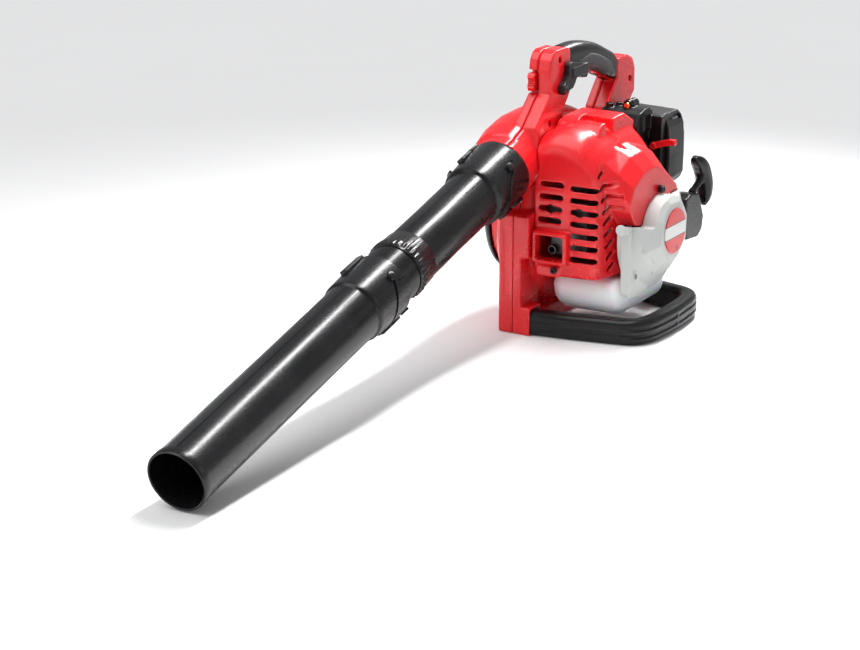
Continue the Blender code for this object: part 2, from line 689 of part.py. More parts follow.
def make_crankcase(mats):
    lo, hi = 0.0340, 0.0800
    body = box((lo, -0.034, 0.094), (hi, 0.034, CASE_TOP_Z), 0.006, 2)
    chamber = rod((0.0475, 0.0, CRANK_Z), (0.0665, 0.0, CRANK_Z), 0.0255, 20)
    seat_a = rod((0.0395, 0.0, CRANK_Z), (0.0480, 0.0, CRANK_Z), (0.0130 + GAP) / math.cos(math.pi / 18), 18)
    seat_b = rod((0.0660, 0.0, CRANK_Z), (0.0745, 0.0, CRANK_Z), (0.0130 + GAP) / math.cos(math.pi / 18), 18)
    shaft = rod((0.02, 0.0, CRANK_Z), (0.10, 0.0, CRANK_Z), SHAFT_R + 0.0015, 20)
    legs = [rod((CASE_ENGINE_X + GAP, y, z), (lo + 0.004, y, z), 0.0055) for y in (-0.027, 0.027)
            for z in (0.104, 0.156)]
    unite(body, merged(legs))
    throat = rod((ENGINE_X, 0.0, CRANK_Z), (ENGINE_X, 0.0, CASE_TOP_Z + 0.01), BORE_R + GAP, 20)
    cut(body, chamber, seat_a, seat_b, shaft, throat)
    fan_half = copy_of(body)
    big = 0.5
    cut(fan_half, box((ENGINE_X - GAP / 2, -big, -big), (big, big, big)))
    cut(body, box((-big, -big, -big), (ENGINE_X + GAP / 2, big, big)))
    finish(fan_half, "crankcase_fan_half", mats["aluminium"])
    finish(body, "crankcase_starter_half", mats["aluminium"])


def make_cylinder(mats):
    base = CASE_TOP_Z + GAP
    frame = along_z(ENGINE_X, 0.0)
    body = lathe([(0.0235, base), (0.0215, HEAD_Z)], frame, 16, False)
    flange = box((ENGINE_X - 0.022, -0.028, base), (ENGINE_X + 0.022, 0.028, base + 0.005))
    fins = []
    count = 6
    for number in range(count):
        level = base + 0.0115 + number * 0.0082
        half_y = 0.033 - 0.0006 * number
        fins.append(box((ENGINE_X - 0.030, -half_y, level), (ENGINE_X + 0.030, half_y, level + 0.0018)))
    ports = [box((ENGINE_X - 0.012, -0.0400, 0.176), (ENGINE_X + 0.012, -0.0150, 0.196)),
             box((ENGINE_X - 0.012, 0.0150, 0.176), (ENGINE_X + 0.012, 0.0400, 0.196))]
    unite(body, flange, merged(fins), *ports)
    chamber_top = CRANK_Z + CRANK_THROW + ROD_LENGTH + 0.0165
    bore = lathe([(BORE_R, base - 0.01), (BORE_R, chamber_top)], frame, 20, False)
    plug = lathe([(0.0048 + GAP, 0.20), (0.0048 + GAP, 0.24)], frame, SMALL_ROUND, False)
    ducts = [box((ENGINE_X - 0.007, -0.05, 0.180), (ENGINE_X + 0.007, 0.0, 0.191)),
             box((ENGINE_X - 0.007, 0.0, 0.180), (ENGINE_X + 0.007, 0.05, 0.191))]
    cut(body, bore, plug, *ducts)
    finish(body, "cylinder", mats["aluminium"])


def make_ignition(mats):
    frame = along_z(ENGINE_X, 0.0)
    plug = lathe([(0.0048, 0.2150), (0.0048, HEAD_Z + GAP), (0.0090, HEAD_Z + GAP), (0.0090, 0.2320),
                  (0.0055, 0.2330), (0.0045, 0.2440)], frame, SMALL_ROUND, False)
    finish(plug, "spark_plug", mats["steel"])
    boot = lathe([(0.0055, 0.2345), (0.0085, 0.2345), (0.0085, 0.2500), (0.0050, 0.2530), (0.0010, 0.2530),
                  (0.0010, 0.2445), (0.0055, 0.2445)], frame, SMALL_ROUND, True)
    finish(boot, "plug_boot", mats["rubber"])
    coil = box((0.0920, -0.016, 0.1790), (0.1050, 0.016, 0.2020), 0.003, 2)
    core = box((0.0950, -0.013, 0.1765), (0.1020, 0.013, 0.1830))
    finish(unite(coil, core), "ignition_coil", mats["dark_steel"])
    lead = cable([(0.0985, 0.0, 0.2026), (0.0985, 0.0, 0.2150), (0.0940, 0.0, 0.2330), (0.0800, 0.0, 0.2425),
                  (0.0670, 0.0, 0.2440)], 0.0030)
    finish(lead, "ignition_lead", mats["rubber"])


def make_flywheel(mats):
    axis = (0.0, 0.0, CRANK_Z)
    bore = SHAFT_R + GAP
    wheel = lathe([(bore, 0.0900), (0.014, 0.0900), (0.016, 0.0930), (0.0450, 0.0930), (0.0450, 0.1040),
                   (0.0400, 0.1040), (0.0380, 0.0980), (0.0180, 0.0980), (0.0160, 0.1040), (bore, 0.1040)],
                  along_x(), ROUND)
    finish(wheel, "flywheel", mats["aluminium"], axis)
    cup = lathe([(bore, 0.1045), (0.0240, 0.1045), (0.0240, 0.1170), (0.0215, 0.1170), (0.0215, 0.1070),
                 (0.0120, 0.1070), (0.0120, 0.1130), (bore, 0.1130)], along_x(), ROUND)
    finish(cup, "starter_cup", mats["steel"], axis)


def make_muffler(mats):
    body = box((0.0300, -0.0860, 0.0980), (0.0860, -0.0402, 0.1740), 0.006, 2)
    flange = box((ENGINE_X - 0.014, -0.0420, 0.174), (ENGINE_X + 0.014, -0.0402, 0.198), 0.0005, 1)
    neck = box((ENGINE_X - 0.010, -0.0500, 0.165), (ENGINE_X + 0.010, -0.0402, 0.193), 0.0015, 1)
    outlet = rod((0.0400, -0.0840, 0.1100), (0.0400, -0.0925, 0.1100), 0.0056)
    unite(body, flange, neck, outlet)
    hollow = box((0.0315, -0.0845, 0.0995), (0.0845, -0.0420, 0.1725), 0.004, 1)
    cut(body, hollow, rod((0.0400, -0.0800, 0.1100), (0.0400, -0.1000, 0.1100), 0.0042))
    finish(body, "muffler", mats["dark_steel"])


def make_fuel_feed(mats):
    """Insulator, carburettor with its throttle lever, primer and fuel pipe."""
    insulator = box((0.0430, 0.0403, 0.1740), (0.0710, 0.0525, 0.1980), 0.0015, 1)
    cut(insulator, rod((ENGINE_X, 0.03, 0.1860), (ENGINE_X, 0.06, 0.1860), 0.0065))
    finish(insulator, "intake_insulator", mats["black"])

    carb = box((0.0400, 0.0528, 0.1700), (0.0740, 0.0850, 0.2030), 0.003, 1)
    bowl = box((0.0440, 0.0560, 0.1620), (0.0700, 0.0800, 0.1720), 0.002, 1)
    primer = box((0.0400, 0.0560, 0.1180), (0.0680, 0.0800, 0.1460), 0.003, 1)
    neck = box((0.0480, 0.0620, 0.1400), (0.0640, 0.0760, 0.1660))
    unite(carb, bowl, primer, neck, rod((0.0395, 0.0690, 0.1860), (0.0415, 0.0690, 0.1860), 0.0055))
    cut(carb, rod((ENGINE_X, 0.04, 0.1860), (ENGINE_X, 0.10, 0.1860), 0.0075, 20))
    cut(carb, rod((0.0540, 0.0745, 0.1320), (0.0540, 0.0900, 0.1320), 0.0118, 20))
    finish(carb, "carburettor", mats["aluminium"])

    lever = rod((0.0355, 0.0690, 0.1860), (0.0385, 0.0690, 0.1860), 0.0050)
    arm = box((0.0355, 0.0667, 0.1860), (0.0380, 0.0713, 0.2050), 0.0005, 1)
    finish(unite(lever, arm), "throttle_lever", mats["steel"], (0.0370, 0.0690, 0.1860))

    bulb = lathe([(0.0110, 0.0810), (0.0105, 0.0860), (0.0080, 0.0905), (0.0035, 0.0925)],
                 along_y(0.0540, 0.1320), 20, False)
    finish(bulb, "primer_bulb", mats["tank"], (0.0540, 0.0810, 0.1320))

    pipe = cable([(0.0480, 0.0545, 0.0706), (0.0480, 0.0548, 0.0850), (0.0490, 0.0600, 0.1000),
                  (0.0515, 0.0675, 0.1100), (0.0520, 0.0680, 0.1174)], 0.0025)
    finish(pipe, "fuel_pipe", mats["rubber"])


def make_air_cleaner(mats):
    base = box((0.0215, 0.0880, 0.1500), (0.1000, 0.1000, 0.2500), 0.004, 1)
    hood = prism([(0.0560, 0.2200), (0.0540, 0.2400), (0.0620, 0.2550), (0.0900, 0.2600), (0.0960, 0.2490),
                  (0.0960, 0.2200)], "X", 0.0255, 0.0820, 0.003)
    profile = [(0.0068, 0.0760), (0.0068, 0.0960), (0.0060, 0.0980)]
    boss = lathe(profile, along_y(0.0570, 0.2620), SMALL_ROUND, False)
    unite(base, hood, boss)
    cut(base, rod((ENGINE_X, 0.08, 0.1860), (ENGINE_X, 0.11, 0.1860), 0.0090, 20))
    cut(base, rod((0.0570, 0.07, 0.2620), (0.0570, 0.0860, 0.2620), 0.0042 + GAP))
    finish(base, "air_cleaner_base", mats["black"])

    outline = [(0.0215, 0.1500), (0.0940, 0.1500), (0.1040, 0.1620), (0.1050, 0.1900), (0.1030, 0.2300),
               (0.0950, 0.2480), (0.0300, 0.2500), (0.0215, 0.2420)]
    cover = prism(outline, "Y", 0.1003, 0.1520, 0.005)
    hollow = box((0.0250, 0.0950, 0.1550), (0.0990, 0.1485, 0.2430), 0.002, 1)
    cut(cover, hollow)
    finish(cover, "air_cleaner_cover", mats["black"])
    foam = box((0.0270, 0.1040, 0.1565), (0.0975, 0.1450, 0.2415), 0.003, 1)
    finish(foam, "filter_element", mats["foam"])

    knob = lathe([(0.0042, 0.0725), (0.0042, 0.0855)], along_y(0.0570, 0.2620), 12, False)
    cut(knob, box((0.05, 0.0720, 0.2614), (0.065, 0.0738, 0.2626)))
    finish(knob, "cleaner_screw", mats["brass"], (0.0570, 0.0800, 0.2620))

    pivot = rod((0.0920, 0.0790, 0.2120), (0.0920, 0.0875, 0.2120), 0.0045)
    arm = prism([(0.0880, 0.2090), (0.0930, 0.2080), (0.1180, 0.2160), (0.1230, 0.2170), (0.1230, 0.2240),
                 (0.1160, 0.2240), (0.0900, 0.2160)], "Y", 0.0800, 0.0840, 0.0008)
    finish(unite(pivot, arm), "choke_lever", mats["red"], (0.0920, 0.0830, 0.2120))


def make_tank(mats):
    lo, hi = Vector((0.0280, -0.0740, 0.0300)), Vector((0.1285, 0.0580, 0.0735))
    tank = box(lo, hi, 0.016, 3)
    wall = Vector((0.0022, 0.0022, 0.0022))
    inside = box(lo + wall, hi - wall, 0.014, 2)
    neck = lathe([(0.0170, 0.0500), (0.0170, 0.0620)], along_y(0.0840, 0.0540), 24, False)
    unite(tank, neck)
    cut(tank, inside, lathe([(0.0130, 0.0450), (0.0130, 0.0700)], along_y(0.0840, 0.0540), 24, False))
    finish(tank, "fuel_tank", mats["tank"])
    ribs = 20
    rings = []
    for height, radius in ((0.0625, 0.0185), (0.0740, 0.0185), (0.0770, 0.0160)):
        ring_points = []
        for step in range(ribs * 2):
            turn = math.pi * step / ribs
            r = radius - (0.0010 if step % 2 else 0.0)
            ring_points.append(Vector((0.0840 + r * math.cos(turn), height, 0.0540 + r * math.sin(turn))))
        rings.append(ring_points)
    cap = loft(rings)
    finish(cap, "fuel_cap", mats["black"], (0.0840, 0.0625, 0.0540))


# ------------------------------------------------------------ covers and starter
def skin(sections, grow, top_round, low_round, segments):
    """Loft rounded sections along X, grown outwards or shrunk all round."""
    rings = []
    for x, front, rear, bottom, top in sections:
        centre_y, centre_z = (front + rear) / 2, (bottom + top) / 2
        section = rounded_section((rear - front) / 2 + grow, (top - bottom) / 2 + grow, top_round + grow,
                                  segments, low_round + grow)
        rings.append([Vector((x, centre_y + a, centre_z + b)) for a, b in section])
    for point in rings[-1]:
        point.x += grow
    for point in rings[0]:
        point.x -= abs(grow)
    return loft(rings)


def cover_solid(grow):
    return skin(COVER_SECTIONS, grow, COVER_TOP_ROUND, COVER_LOW_ROUND, 3)


def grown_outline(points, distance):
    """Move every corner of a counter-clockwise outline out along its mitre."""
    grown = []
    for i, here in enumerate(points):
        here = Vector(here)
        before = (here - Vector(points[i - 1])).normalized()
        after = (Vector(points[(i + 1) % len(points)]) - here).normalized()
        normal = Vector((before.y + after.y, -before.x - after.x)).normalized()
        grown.append(here + normal * (distance / max(0.4, normal.dot(Vector((before.y, -before.x))))))
    return grown


def cowl_clearance():
    """Room the housing leaves for the bulge, all but behind the hub."""
    room = prism(grown_outline(COWL_OUTLINE, GAP), "X", 0.10, 0.20)
    return cut(room, rod((COWL_X[1] + GAP, 0.0, CRANK_Z), (0.25, 0.0, CRANK_Z), HUB_R, ROUND))


def slot_cutter(x, z, width, height, y_lo, y_hi):
    half = height / 2
    reach = width / 2 - half
    outline = []
    for side in (1, -1):
        for turn in (0.0, math.pi / 2, math.pi):
            outline.append((x + (reach + half * math.sin(turn)) * side, z - half * math.cos(turn) * side))
    return prism(outline, "Y", y_lo, y_hi)


def make_engine_cover(mats):
    cover = cover_solid(0.0)
    frame_outer = box((0.0215, -0.1120, 0.0960), (0.0690, -0.0900, 0.1370), 0.003, 1)
    pad = prism([(-0.070, 0.240), (-0.050, 0.2660), (0.012, 0.2700), (0.040, 0.2540), (0.030, 0.235)],
                "X", 0.0230, 0.0860, 0.004)
    cowl = prism(COWL_OUTLINE, "X", *COWL_X, 0.0018)
    unite(cover, frame_outer, pad, cowl)
    cut(cover, cover_solid(-COVER_WALL), prism(COWL_HOLLOW, "X", 0.10, COWL_X[1] - COVER_WALL))
    window = box((0.0255, -0.13, 0.1000), (0.0650, -0.088, 0.1330))
    rear = box((0.010, 0.036, 0.1100), (0.1150, 0.090, 0.2300))
    hole = rod((0.105, 0.0, CRANK_Z), (0.1363, 0.0, CRANK_Z), 0.0450, 24)
    cut(cover, window, rear, hole, neck_solid(GAP))
    slots = []
    for row, z in enumerate((0.1950, 0.1790, 0.1640, 0.1490)):
        slots.append(slot_cutter(0.0420 - 0.001 * row, z, 0.032, 0.0068, -0.12, -0.08))
    for row in range(7):
        slots.append(slot_cutter(0.0850, 0.1930 - 0.0150 * row, 0.036, 0.0068, -0.12, -0.08))
    cut(cover, merged(slots))
    finish(cover, "engine_cover", mats["red"])


def make_cover_screws(mats):
    upper = rod((COWL_X[1] + GAP, 0.0040, 0.1800), (COWL_X[1] + 0.0070, 0.0040, 0.1800), 0.0045)
    lower = rod((0.0485, -0.1060, 0.0870), (0.0485, -0.0990, 0.0870), 0.0040)
    finish(upper, "cover_screw_upper", mats["black"])
    finish(lower, "cover_screw_lower", mats["black"])


def make_starter(mats):
    axis = (0.0, 0.0, CRANK_Z)
    outer = [(STARTER_R, 0.1222), (STARTER_R, 0.1310), (0.0740, 0.1390), (0.0560, 0.1480), (0.0500, 0.1530),
             (0.0360, 0.1635), (0.0330, 0.1642)]
    inner = [(0.0310, 0.1615), (0.0340, 0.1610), (0.0475, 0.1505), (0.0535, 0.1455), (0.0715, 0.1365),
             (0.0750, 0.1300), (0.0750, 0.1222)]
    housing = lathe(outer, along_x(), ROUND, False)
    leg = prism([(-0.080, 0.150), (-0.080, 0.064), (-0.075, 0.057), (-0.034, 0.050), (-0.027, 0.054),
                 (0.000, 0.078), (0.000, 0.150)], "X", LEG_X, LEG_X + 0.0095, 0.0015)
    boss = rod((0.1335, -0.090, 0.147), (0.1335, -0.045, 0.147), 0.0072)
    unite(housing, leg, boss)
    hollow = lathe(list(reversed(inner[1:])), along_x(), ROUND, False)
    hollow_end = rod((0.10, 0.0, CRANK_Z), (0.1225, 0.0, CRANK_Z), 0.0750, ROUND)
    below = 0.5
    cut(housing, box((0.10, -below, -below), (LEG_X, below, STARTER_BOTTOM_Z)))
    leg_screw = rod((0.12, -0.058, 0.082), (0.16, -0.058, 0.082), 0.0040)
    unite(hollow, hollow_end)
    roof = prism(grown_outline(COWL_OUTLINE, STARTER_WALL), "X", COWL_X[1] - 0.0010, 0.22)
    cut(roof, rod((0.1, 0.0, CRANK_Z), (0.25, 0.0, CRANK_Z), HUB_R - STARTER_WALL, ROUND))
    floor = box((0.0, -below, -below), (below, below, STARTER_BOTTOM_Z + STARTER_WALL))
    cut(housing, cut(hollow, floor, roof))
    post = rod((0.1190, 0.0, CRANK_Z), (0.1625, 0.0, CRANK_Z), 0.0060)
    unite(housing, post)
    cut(housing, rope_hole(0.0045), leg_screw, cowl_clearance())
    behind = [(0.001, 0.230), (0.001, 0.2040), (0.0575, 0.1683), (0.120, 0.1683), (0.120, 0.230)]
    cut(housing, prism(behind, "X", 0.09, 0.21))
    finish(housing, "starter_housing", mats["grey"])

    badge = lathe([(0.0285, 0.1645), (0.0285, 0.1654), (0.0280, 0.1658)], along_x(), ROUND, False)
    finish(badge, "badge_disc", mats["badge"])

    groove = ROPE_LINE_R - ROPE_R - GAP
    pulley = lathe([(0.0063, 0.1235), (0.0400, 0.1235), (0.0400, 0.1260), (groove, 0.1275), (groove, 0.1325),
                    (0.0400, 0.1340), (0.0400, 0.1355), (0.0063, 0.1355)], along_x(), ROUND)
    finish(pulley, "recoil_pulley", mats["black"], axis)

    turns, per_turn = 3, 14
    front, back = [], []
    for step in range(turns * per_turn + 1):
        turn = 2 * math.pi * step / per_turn
        radius = 0.0110 + 0.0140 * step / (turns * per_turn)
        front.append((radius * math.cos(turn), CRANK_Z + radius * math.sin(turn)))
        back.append(((radius + 0.0008) * math.cos(turn), CRANK_Z + (radius + 0.0008) * math.sin(turn)))
    bm = bmesh.new()
    levels = (0.1375, 0.1435)
    grid = []
    for pair in zip(front, back):
        grid.append([bm.verts.new((x, *point)) for x in levels for point in pair])
    order = (0, 1, 3, 2)
    for here, there in zip(grid, grid[1:]):
        for k in range(4):
            a, b = order[k], order[(k + 1) % 4]
            bm.faces.new((here[a], here[b], there[b], there[a]))
    bm.faces.new([grid[0][k] for k in order])
    bm.faces.new([grid[-1][k] for k in order])
    finish(new_object("spring", bm), "recoil_spring", mats["steel"])


def rope_point(distance):
    """Point on the straight stretch of rope, counted from the pulley."""
    foot_y = ROPE_LINE_R * math.sin(ROPE_TILT)
    foot_z = CRANK_Z - ROPE_LINE_R * math.cos(ROPE_TILT)
    run = Vector((0.0, math.cos(ROPE_TILT), math.sin(ROPE_TILT)))
    return Vector((PULLEY_X, foot_y, foot_z)) + run * distance


def rope_hole(radius):
    return rod(rope_point(0.03), rope_point(0.13), radius, 12)


def make_pull_cord(mats):
    rope = rod(rope_point(ROPE_START), rope_point(ROPE_STOP), ROPE_R, 10)
    finish(rope, "starter_rope", mats["rope"], rope_point(ROPE_STOP))

    frame = axis_matrix(rope_point(0.0), rope_point(1.0) - rope_point(0.0))
    neck = lathe([(0.0050, GRIP_NECK), (0.0046, GRIP_BAR - 0.012), (0.0080, GRIP_BAR)], frame, 14, False)
    rings = []
    for step in range(9):
        share = step / 4 - 1
        across = 0.0390 * share
        lift = -0.0120 * share * share
        half_t = 0.0085 * math.sqrt(max(0.12, 1 - share ** 4))
        half_w = 0.0095 * math.sqrt(max(0.12, 1 - share ** 4))
        section = rounded_section(half_w, half_t, min(half_w, half_t) * 0.75, 2)
        rings.append([frame @ Vector((a, across, GRIP_BAR + 0.004 + lift + b)) for a, b in section])
    bar = loft(rings)
    unite(neck, bar)
    finish(neck, "starter_grip", mats["black"], rope_point(ROPE_STOP))

    guide = prism([(0.0800, 0.1020), (0.0850, 0.0930), (0.1180, 0.0900), (0.1300, 0.0980), (0.1340, 0.1150),
                   (0.1180, 0.1480), (0.0950, 0.1520), (0.0800, 0.1480)], "X", 0.1160, 0.1440, 0.003)
    cut(guide, rope_hole(0.0030))
    finish(guide, "rope_guide", mats["black"])


# ------------------------------------------------------------- base and handle
def loop_path():
    """Middle line of the base loop, at half its height."""
    level = LOOP_H / 2
    corner_x, corner_y = LOOP_CORNER
    half = [(0.010, FOOT_Y - 0.012), (0.060, 0.0960), (0.110, 0.0860), (0.1340, 0.0810), (0.1470, 0.0755),
            (corner_x + 0.0015, 0.0650), (0.1590, 0.0500), (0.1612, 0.0250)]
    near = [Vector((x, -y, level)) for x, y in half]
    far = [Vector((x, y, level)) for x, y in reversed(half)]
    return near + [Vector((LOOP_BOW_X, 0.0, level))] + far


def make_base_loop(mats):
    section = rounded_section(LOOP_W / 2, LOOP_H / 2, 0.007, 3)
    finish(sweep(loop_path(), section, Vector((0, 0, 1))), "base_loop", mats["black"])


def make_handle(mats):
    path = [Vector((0.0, y, z)) for y, z in GRIP_LINE]
    path[0] = Vector((0.0, -0.003 + GAP, 0.3300))
    path[-1] = Vector((0.0, 0.128 - GAP, 0.2975))
    sleeve = sweep(path, rounded_section(GRIP_HALF_W, GRIP_HALF_H, 0.012, 3), Vector((0, 0, 1)))
    keep = box((-0.05, -0.003 + GAP, 0.2), (0.05, 0.128 - GAP, 0.4))
    boolean(sleeve, [keep], "INTERSECT")
    finish(cut(sleeve, handle_bar(GAP)), "handle_grip", mats["rubber"])

    plate_x = (HANDLE_HALF_X + GAP, 0.0235)
    outline = [(-0.038, 0.2990), (-0.034, 0.2930), (-0.026, 0.2930), (-0.014, 0.2990), (0.002, 0.2920),
               (0.022, 0.2920), (0.029, 0.3040), (0.031, 0.3200), (0.020, 0.3240), (-0.012, 0.3310),
               (-0.021, 0.3280), (-0.022, 0.3160), (-0.036, 0.3060)]
    trigger = prism(outline, "X", *plate_x, 0.0015)
    pad = box((-0.0120, 0.0030, 0.2925), (0.0220, 0.0250, 0.3000), 0.0015, 1)
    unite(trigger, pad)
    cut(trigger, rod((0.0100, *TRIGGER_PIVOT), (0.0300, *TRIGGER_PIVOT), 0.0025 + GAP))
    finish(trigger, "throttle_trigger", mats["black"], (0.0195, *TRIGGER_PIVOT))
    pin = lathe([(0.0025, 0.0085), (0.0025, 0.0238), (0.0045, 0.0238), (0.0045, 0.0258)],
                along_x(0.0, *TRIGGER_PIVOT), SMALL_ROUND, False)
    finish(pin, "trigger_pin", mats["dark_steel"])

    outline = [(-0.0515, 0.2995), (-0.0600, 0.2995), (-0.0625, 0.3060), (-0.0610, 0.3110), (-0.0625, 0.3160),
               (-0.0600, 0.3220), (-0.0515, 0.3220)]
    switch = prism(outline, "X", *SWITCH_X, 0.0010)
    finish(switch, "stop_switch", mats["red"], (sum(SWITCH_X) / 2, -0.0530, 0.3105))

    cord = cable([(0.0215, -0.0200, 0.2360), (0.0220, 0.0000, 0.2380), (0.0225, 0.0280, 0.2310),
                  (0.0240, 0.0480, 0.2160), (0.0300, 0.0640, 0.2090), (0.0345, 0.0690, 0.2080)], 0.0022)
    finish(cord, "throttle_cable", mats["rubber"])


def main():
    for obj in list(bpy.data.objects):
        bpy.data.objects.remove(obj)
    mats = make_materials()
    make_end_pipe(mats)
    make_middle_pipe(mats)
    make_locking_ring(mats)
    make_pin(mats, "neck_pin", 0.690, 0.0420, -37.0)
    make_pin(mats, "tube_pin", 0.406, 0.0398, -43.0)
    make_case(mats)
    make_handle_screws(mats)
    make_intake_guard(mats)
    make_fan(mats)
    make_crank(mats)
    make_piston_group(mats)
    make_crankcase(mats)
    make_cylinder(mats)
    make_ignition(mats)
    make_flywheel(mats)
    make_muffler(mats)
    make_fuel_feed(mats)
    make_air_cleaner(mats)
    make_tank(mats)
    make_engine_cover(mats)
    make_cover_screws(mats)
    make_starter(mats)
    make_pull_cord(mats)
    make_base_loop(mats)
    make_handle(mats)


main()
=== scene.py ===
"""Visual model of the petrol leaf blower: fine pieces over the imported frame."""
import math

import bmesh
import bpy
from mathutils import Matrix, Vector


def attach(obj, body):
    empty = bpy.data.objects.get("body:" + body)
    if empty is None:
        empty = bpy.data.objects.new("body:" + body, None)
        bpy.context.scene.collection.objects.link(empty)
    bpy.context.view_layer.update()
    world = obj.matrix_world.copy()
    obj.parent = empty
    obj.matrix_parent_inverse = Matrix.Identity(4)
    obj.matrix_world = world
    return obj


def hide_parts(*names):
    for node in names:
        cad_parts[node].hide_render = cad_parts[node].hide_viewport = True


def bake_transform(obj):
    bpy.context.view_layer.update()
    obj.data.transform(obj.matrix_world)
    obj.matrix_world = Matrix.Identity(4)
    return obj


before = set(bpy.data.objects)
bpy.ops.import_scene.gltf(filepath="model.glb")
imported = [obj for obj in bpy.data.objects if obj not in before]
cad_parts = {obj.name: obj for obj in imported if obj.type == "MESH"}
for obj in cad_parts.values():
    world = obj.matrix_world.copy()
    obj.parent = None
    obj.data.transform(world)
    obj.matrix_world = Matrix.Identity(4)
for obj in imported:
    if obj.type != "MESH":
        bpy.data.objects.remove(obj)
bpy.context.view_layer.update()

# ------------------------------------------------------------------ dimensions
GAP = 0.0003                 # clearance kept between touching pieces
CRANK_Z = 0.130              # height of the crankshaft above the ground

# blower tube: distances along its axis are counted from the outlet
TUBE_TILT = math.radians(13.9)
TUBE_YAW = math.radians(0.85)
OUTLET = Vector((-0.0073, -0.8239, 0.0368))
OUTLET_R = 0.0363
END_TUBE_R = 0.0359
MIDDLE_TUBE_R = 0.0350
SLIP_R = 0.0338
SPIGOT_R = 0.0335
BELL_BORE_R = 0.0345
TUBE_WALL = 0.0025
END_BELL = (0.360, 0.425)
SERRATED_RING = (0.457, 0.493)
SLIP_END = 0.378
COLLAR = (0.649, 0.7215)
SPIGOT_END = 0.665
NECK_R = 0.0405
NECK_TOP = 0.86

# scroll of the fan case
SCROLL_MAX_R = 0.1425
SCROLL_MIN_R = 0.104
SCROLL_SPAN = 283.9          # degrees from the outlet tangent to the tongue
SCROLL_START = 103.9         # degrees from +Y towards +Z
SCROLL_SQUARENESS = 0.55     # below one the scroll is squarer than round
CASE_ENGINE_X = 0.0185
CASE_INTAKE_X = (-0.0535, -0.042)
CASE_WALL = 0.003
SEAM_X = -0.003
INTAKE_FACE_X = -0.056
INTAKE_RING_R = 0.078
INTAKE_HOLE_R = 0.070

# feet and base loop
FOOT_HALF_X = 0.0215
FOOT_Y = 0.115
FOOT_DEPTH = 0.030
FOOT_H = 0.036
LOOP_H = 0.032
LOOP_W = 0.022
LOOP_CORNER = (0.1535, 0.077)
LOOP_BOW_X = 0.162

# handle
HANDLE_HALF_X = 0.0155
GRIP_HALF_H = 0.0185
GRIP_HALF_W = 0.0150
GRIP_LINE = ((-0.010, 0.3300), (0.030, 0.3290), (0.070, 0.3210), (0.108, 0.3060), (0.146, 0.2900))

HANDLE_SCREWS = (("handle_screw_upper", -0.030, 0.336), ("handle_screw_lower", -0.060, 0.262),
                 ("handle_screw_rear", 0.166, 0.276))
TRIGGER_PIVOT = (-0.031, 0.2995)
SWITCH_X = (-0.0140, -0.0045)

# engine
ENGINE_X = 0.057             # cylinder axis
SHAFT_R = 0.006

# recoil starter
PULLEY_X = 0.130
ROPE_R = 0.0018
ROPE_LINE_R = 0.036
ROPE_TILT = math.radians(25.0)
STARTER_R = 0.078
STARTER_BOTTOM_Z = 0.0785
STARTER_WALL = 0.0025
LEG_X = 0.1295
ROPE_START, ROPE_STOP = 0.045, 0.1150
GRIP_NECK = 0.1153
GRIP_BAR = 0.1500

# covers
COVER_SHAPE = (              # x, front y, rear y, bottom z, top z
    (0.0192, -0.1000, 0.0500, 0.0760, 0.2540),
    (0.0450, -0.0985, 0.0505, 0.0760, 0.2635),
    (0.0750, -0.0975, 0.0500, 0.0765, 0.2580),
    (0.0950, -0.0965, 0.0485, 0.0775, 0.2430),
    (0.1020, -0.0945, 0.0475, 0.0780, 0.2360),
    (0.1060, -0.0850, 0.0465, 0.0785, 0.2310),
    (0.1100, -0.0750, 0.0455, 0.0790, 0.2250),
    (0.1150, -0.0625, 0.0445, 0.0800, 0.2150),
    (0.1195, -0.0520, 0.0430, 0.0810, 0.2020),
)
COVER_TOP_ROUND = 0.034
COVER_LOW_ROUND = 0.010
COWL_X = (0.1050, 0.1390)    # swelling of the cover over the starter housing
COWL_OUTLINE = (
    (-0.086, 0.1520), (-0.046, 0.1430), (-0.025, 0.1450), (-0.014, 0.1505), (0.005, 0.1600), (0.030, 0.1660),
    (0.058, 0.1670), (0.058, 0.1720), (0.013, 0.2050), (-0.010, 0.2120), (-0.040, 0.2100), (-0.068, 0.1960),
    (-0.086, 0.1740),
)
BULGE_FOOT = ((-0.0460, 0.1430), (-0.0250, 0.1450), (-0.0140, 0.1505), (0.0050, 0.1600), (0.0300, 0.1660))
BULGE = (                    # x, outline of the swelling that reaches the starter
    (0.1000, ((-0.0640, 0.1465), *BULGE_FOOT, (0.0480, 0.1670), (0.0480, 0.2060), (0.0200, 0.2330),
              (-0.0100, 0.2380), (-0.0450, 0.2385), (-0.0800, 0.2300), (-0.0860, 0.2100), (-0.0760, 0.1680))),
    (0.1220, ((-0.0620, 0.1465), *BULGE_FOOT, (0.0540, 0.1670), (0.0540, 0.1920), (0.0170, 0.2230),
              (-0.0100, 0.2290), (-0.0430, 0.2280), (-0.0760, 0.2130), (-0.0810, 0.1930), (-0.0750, 0.1670))),
    (0.1390, ((-0.0600, 0.1465), *BULGE_FOOT, (0.0580, 0.1670), (0.0580, 0.1720), (0.0130, 0.2050),
              (-0.0100, 0.2120), (-0.0400, 0.2100), (-0.0660, 0.1960), (-0.0760, 0.1770), (-0.0740, 0.1660))),
)
HUB_R = 0.044                # the starter's hub stands in front of that swelling

# handle grip, fuel cap and air cleaner
GRIP_CORNER = 0.0128
GRIP_FIT = 0.985             # share of the CAD grip's section that the finer one fills
GRIP_SWELL = 0.045           # how much fuller the grip is at its middle
CAP_CENTRE = (0.0840, 0.0540)
CLEANER_SCREW = (0.0570, 0.2620)

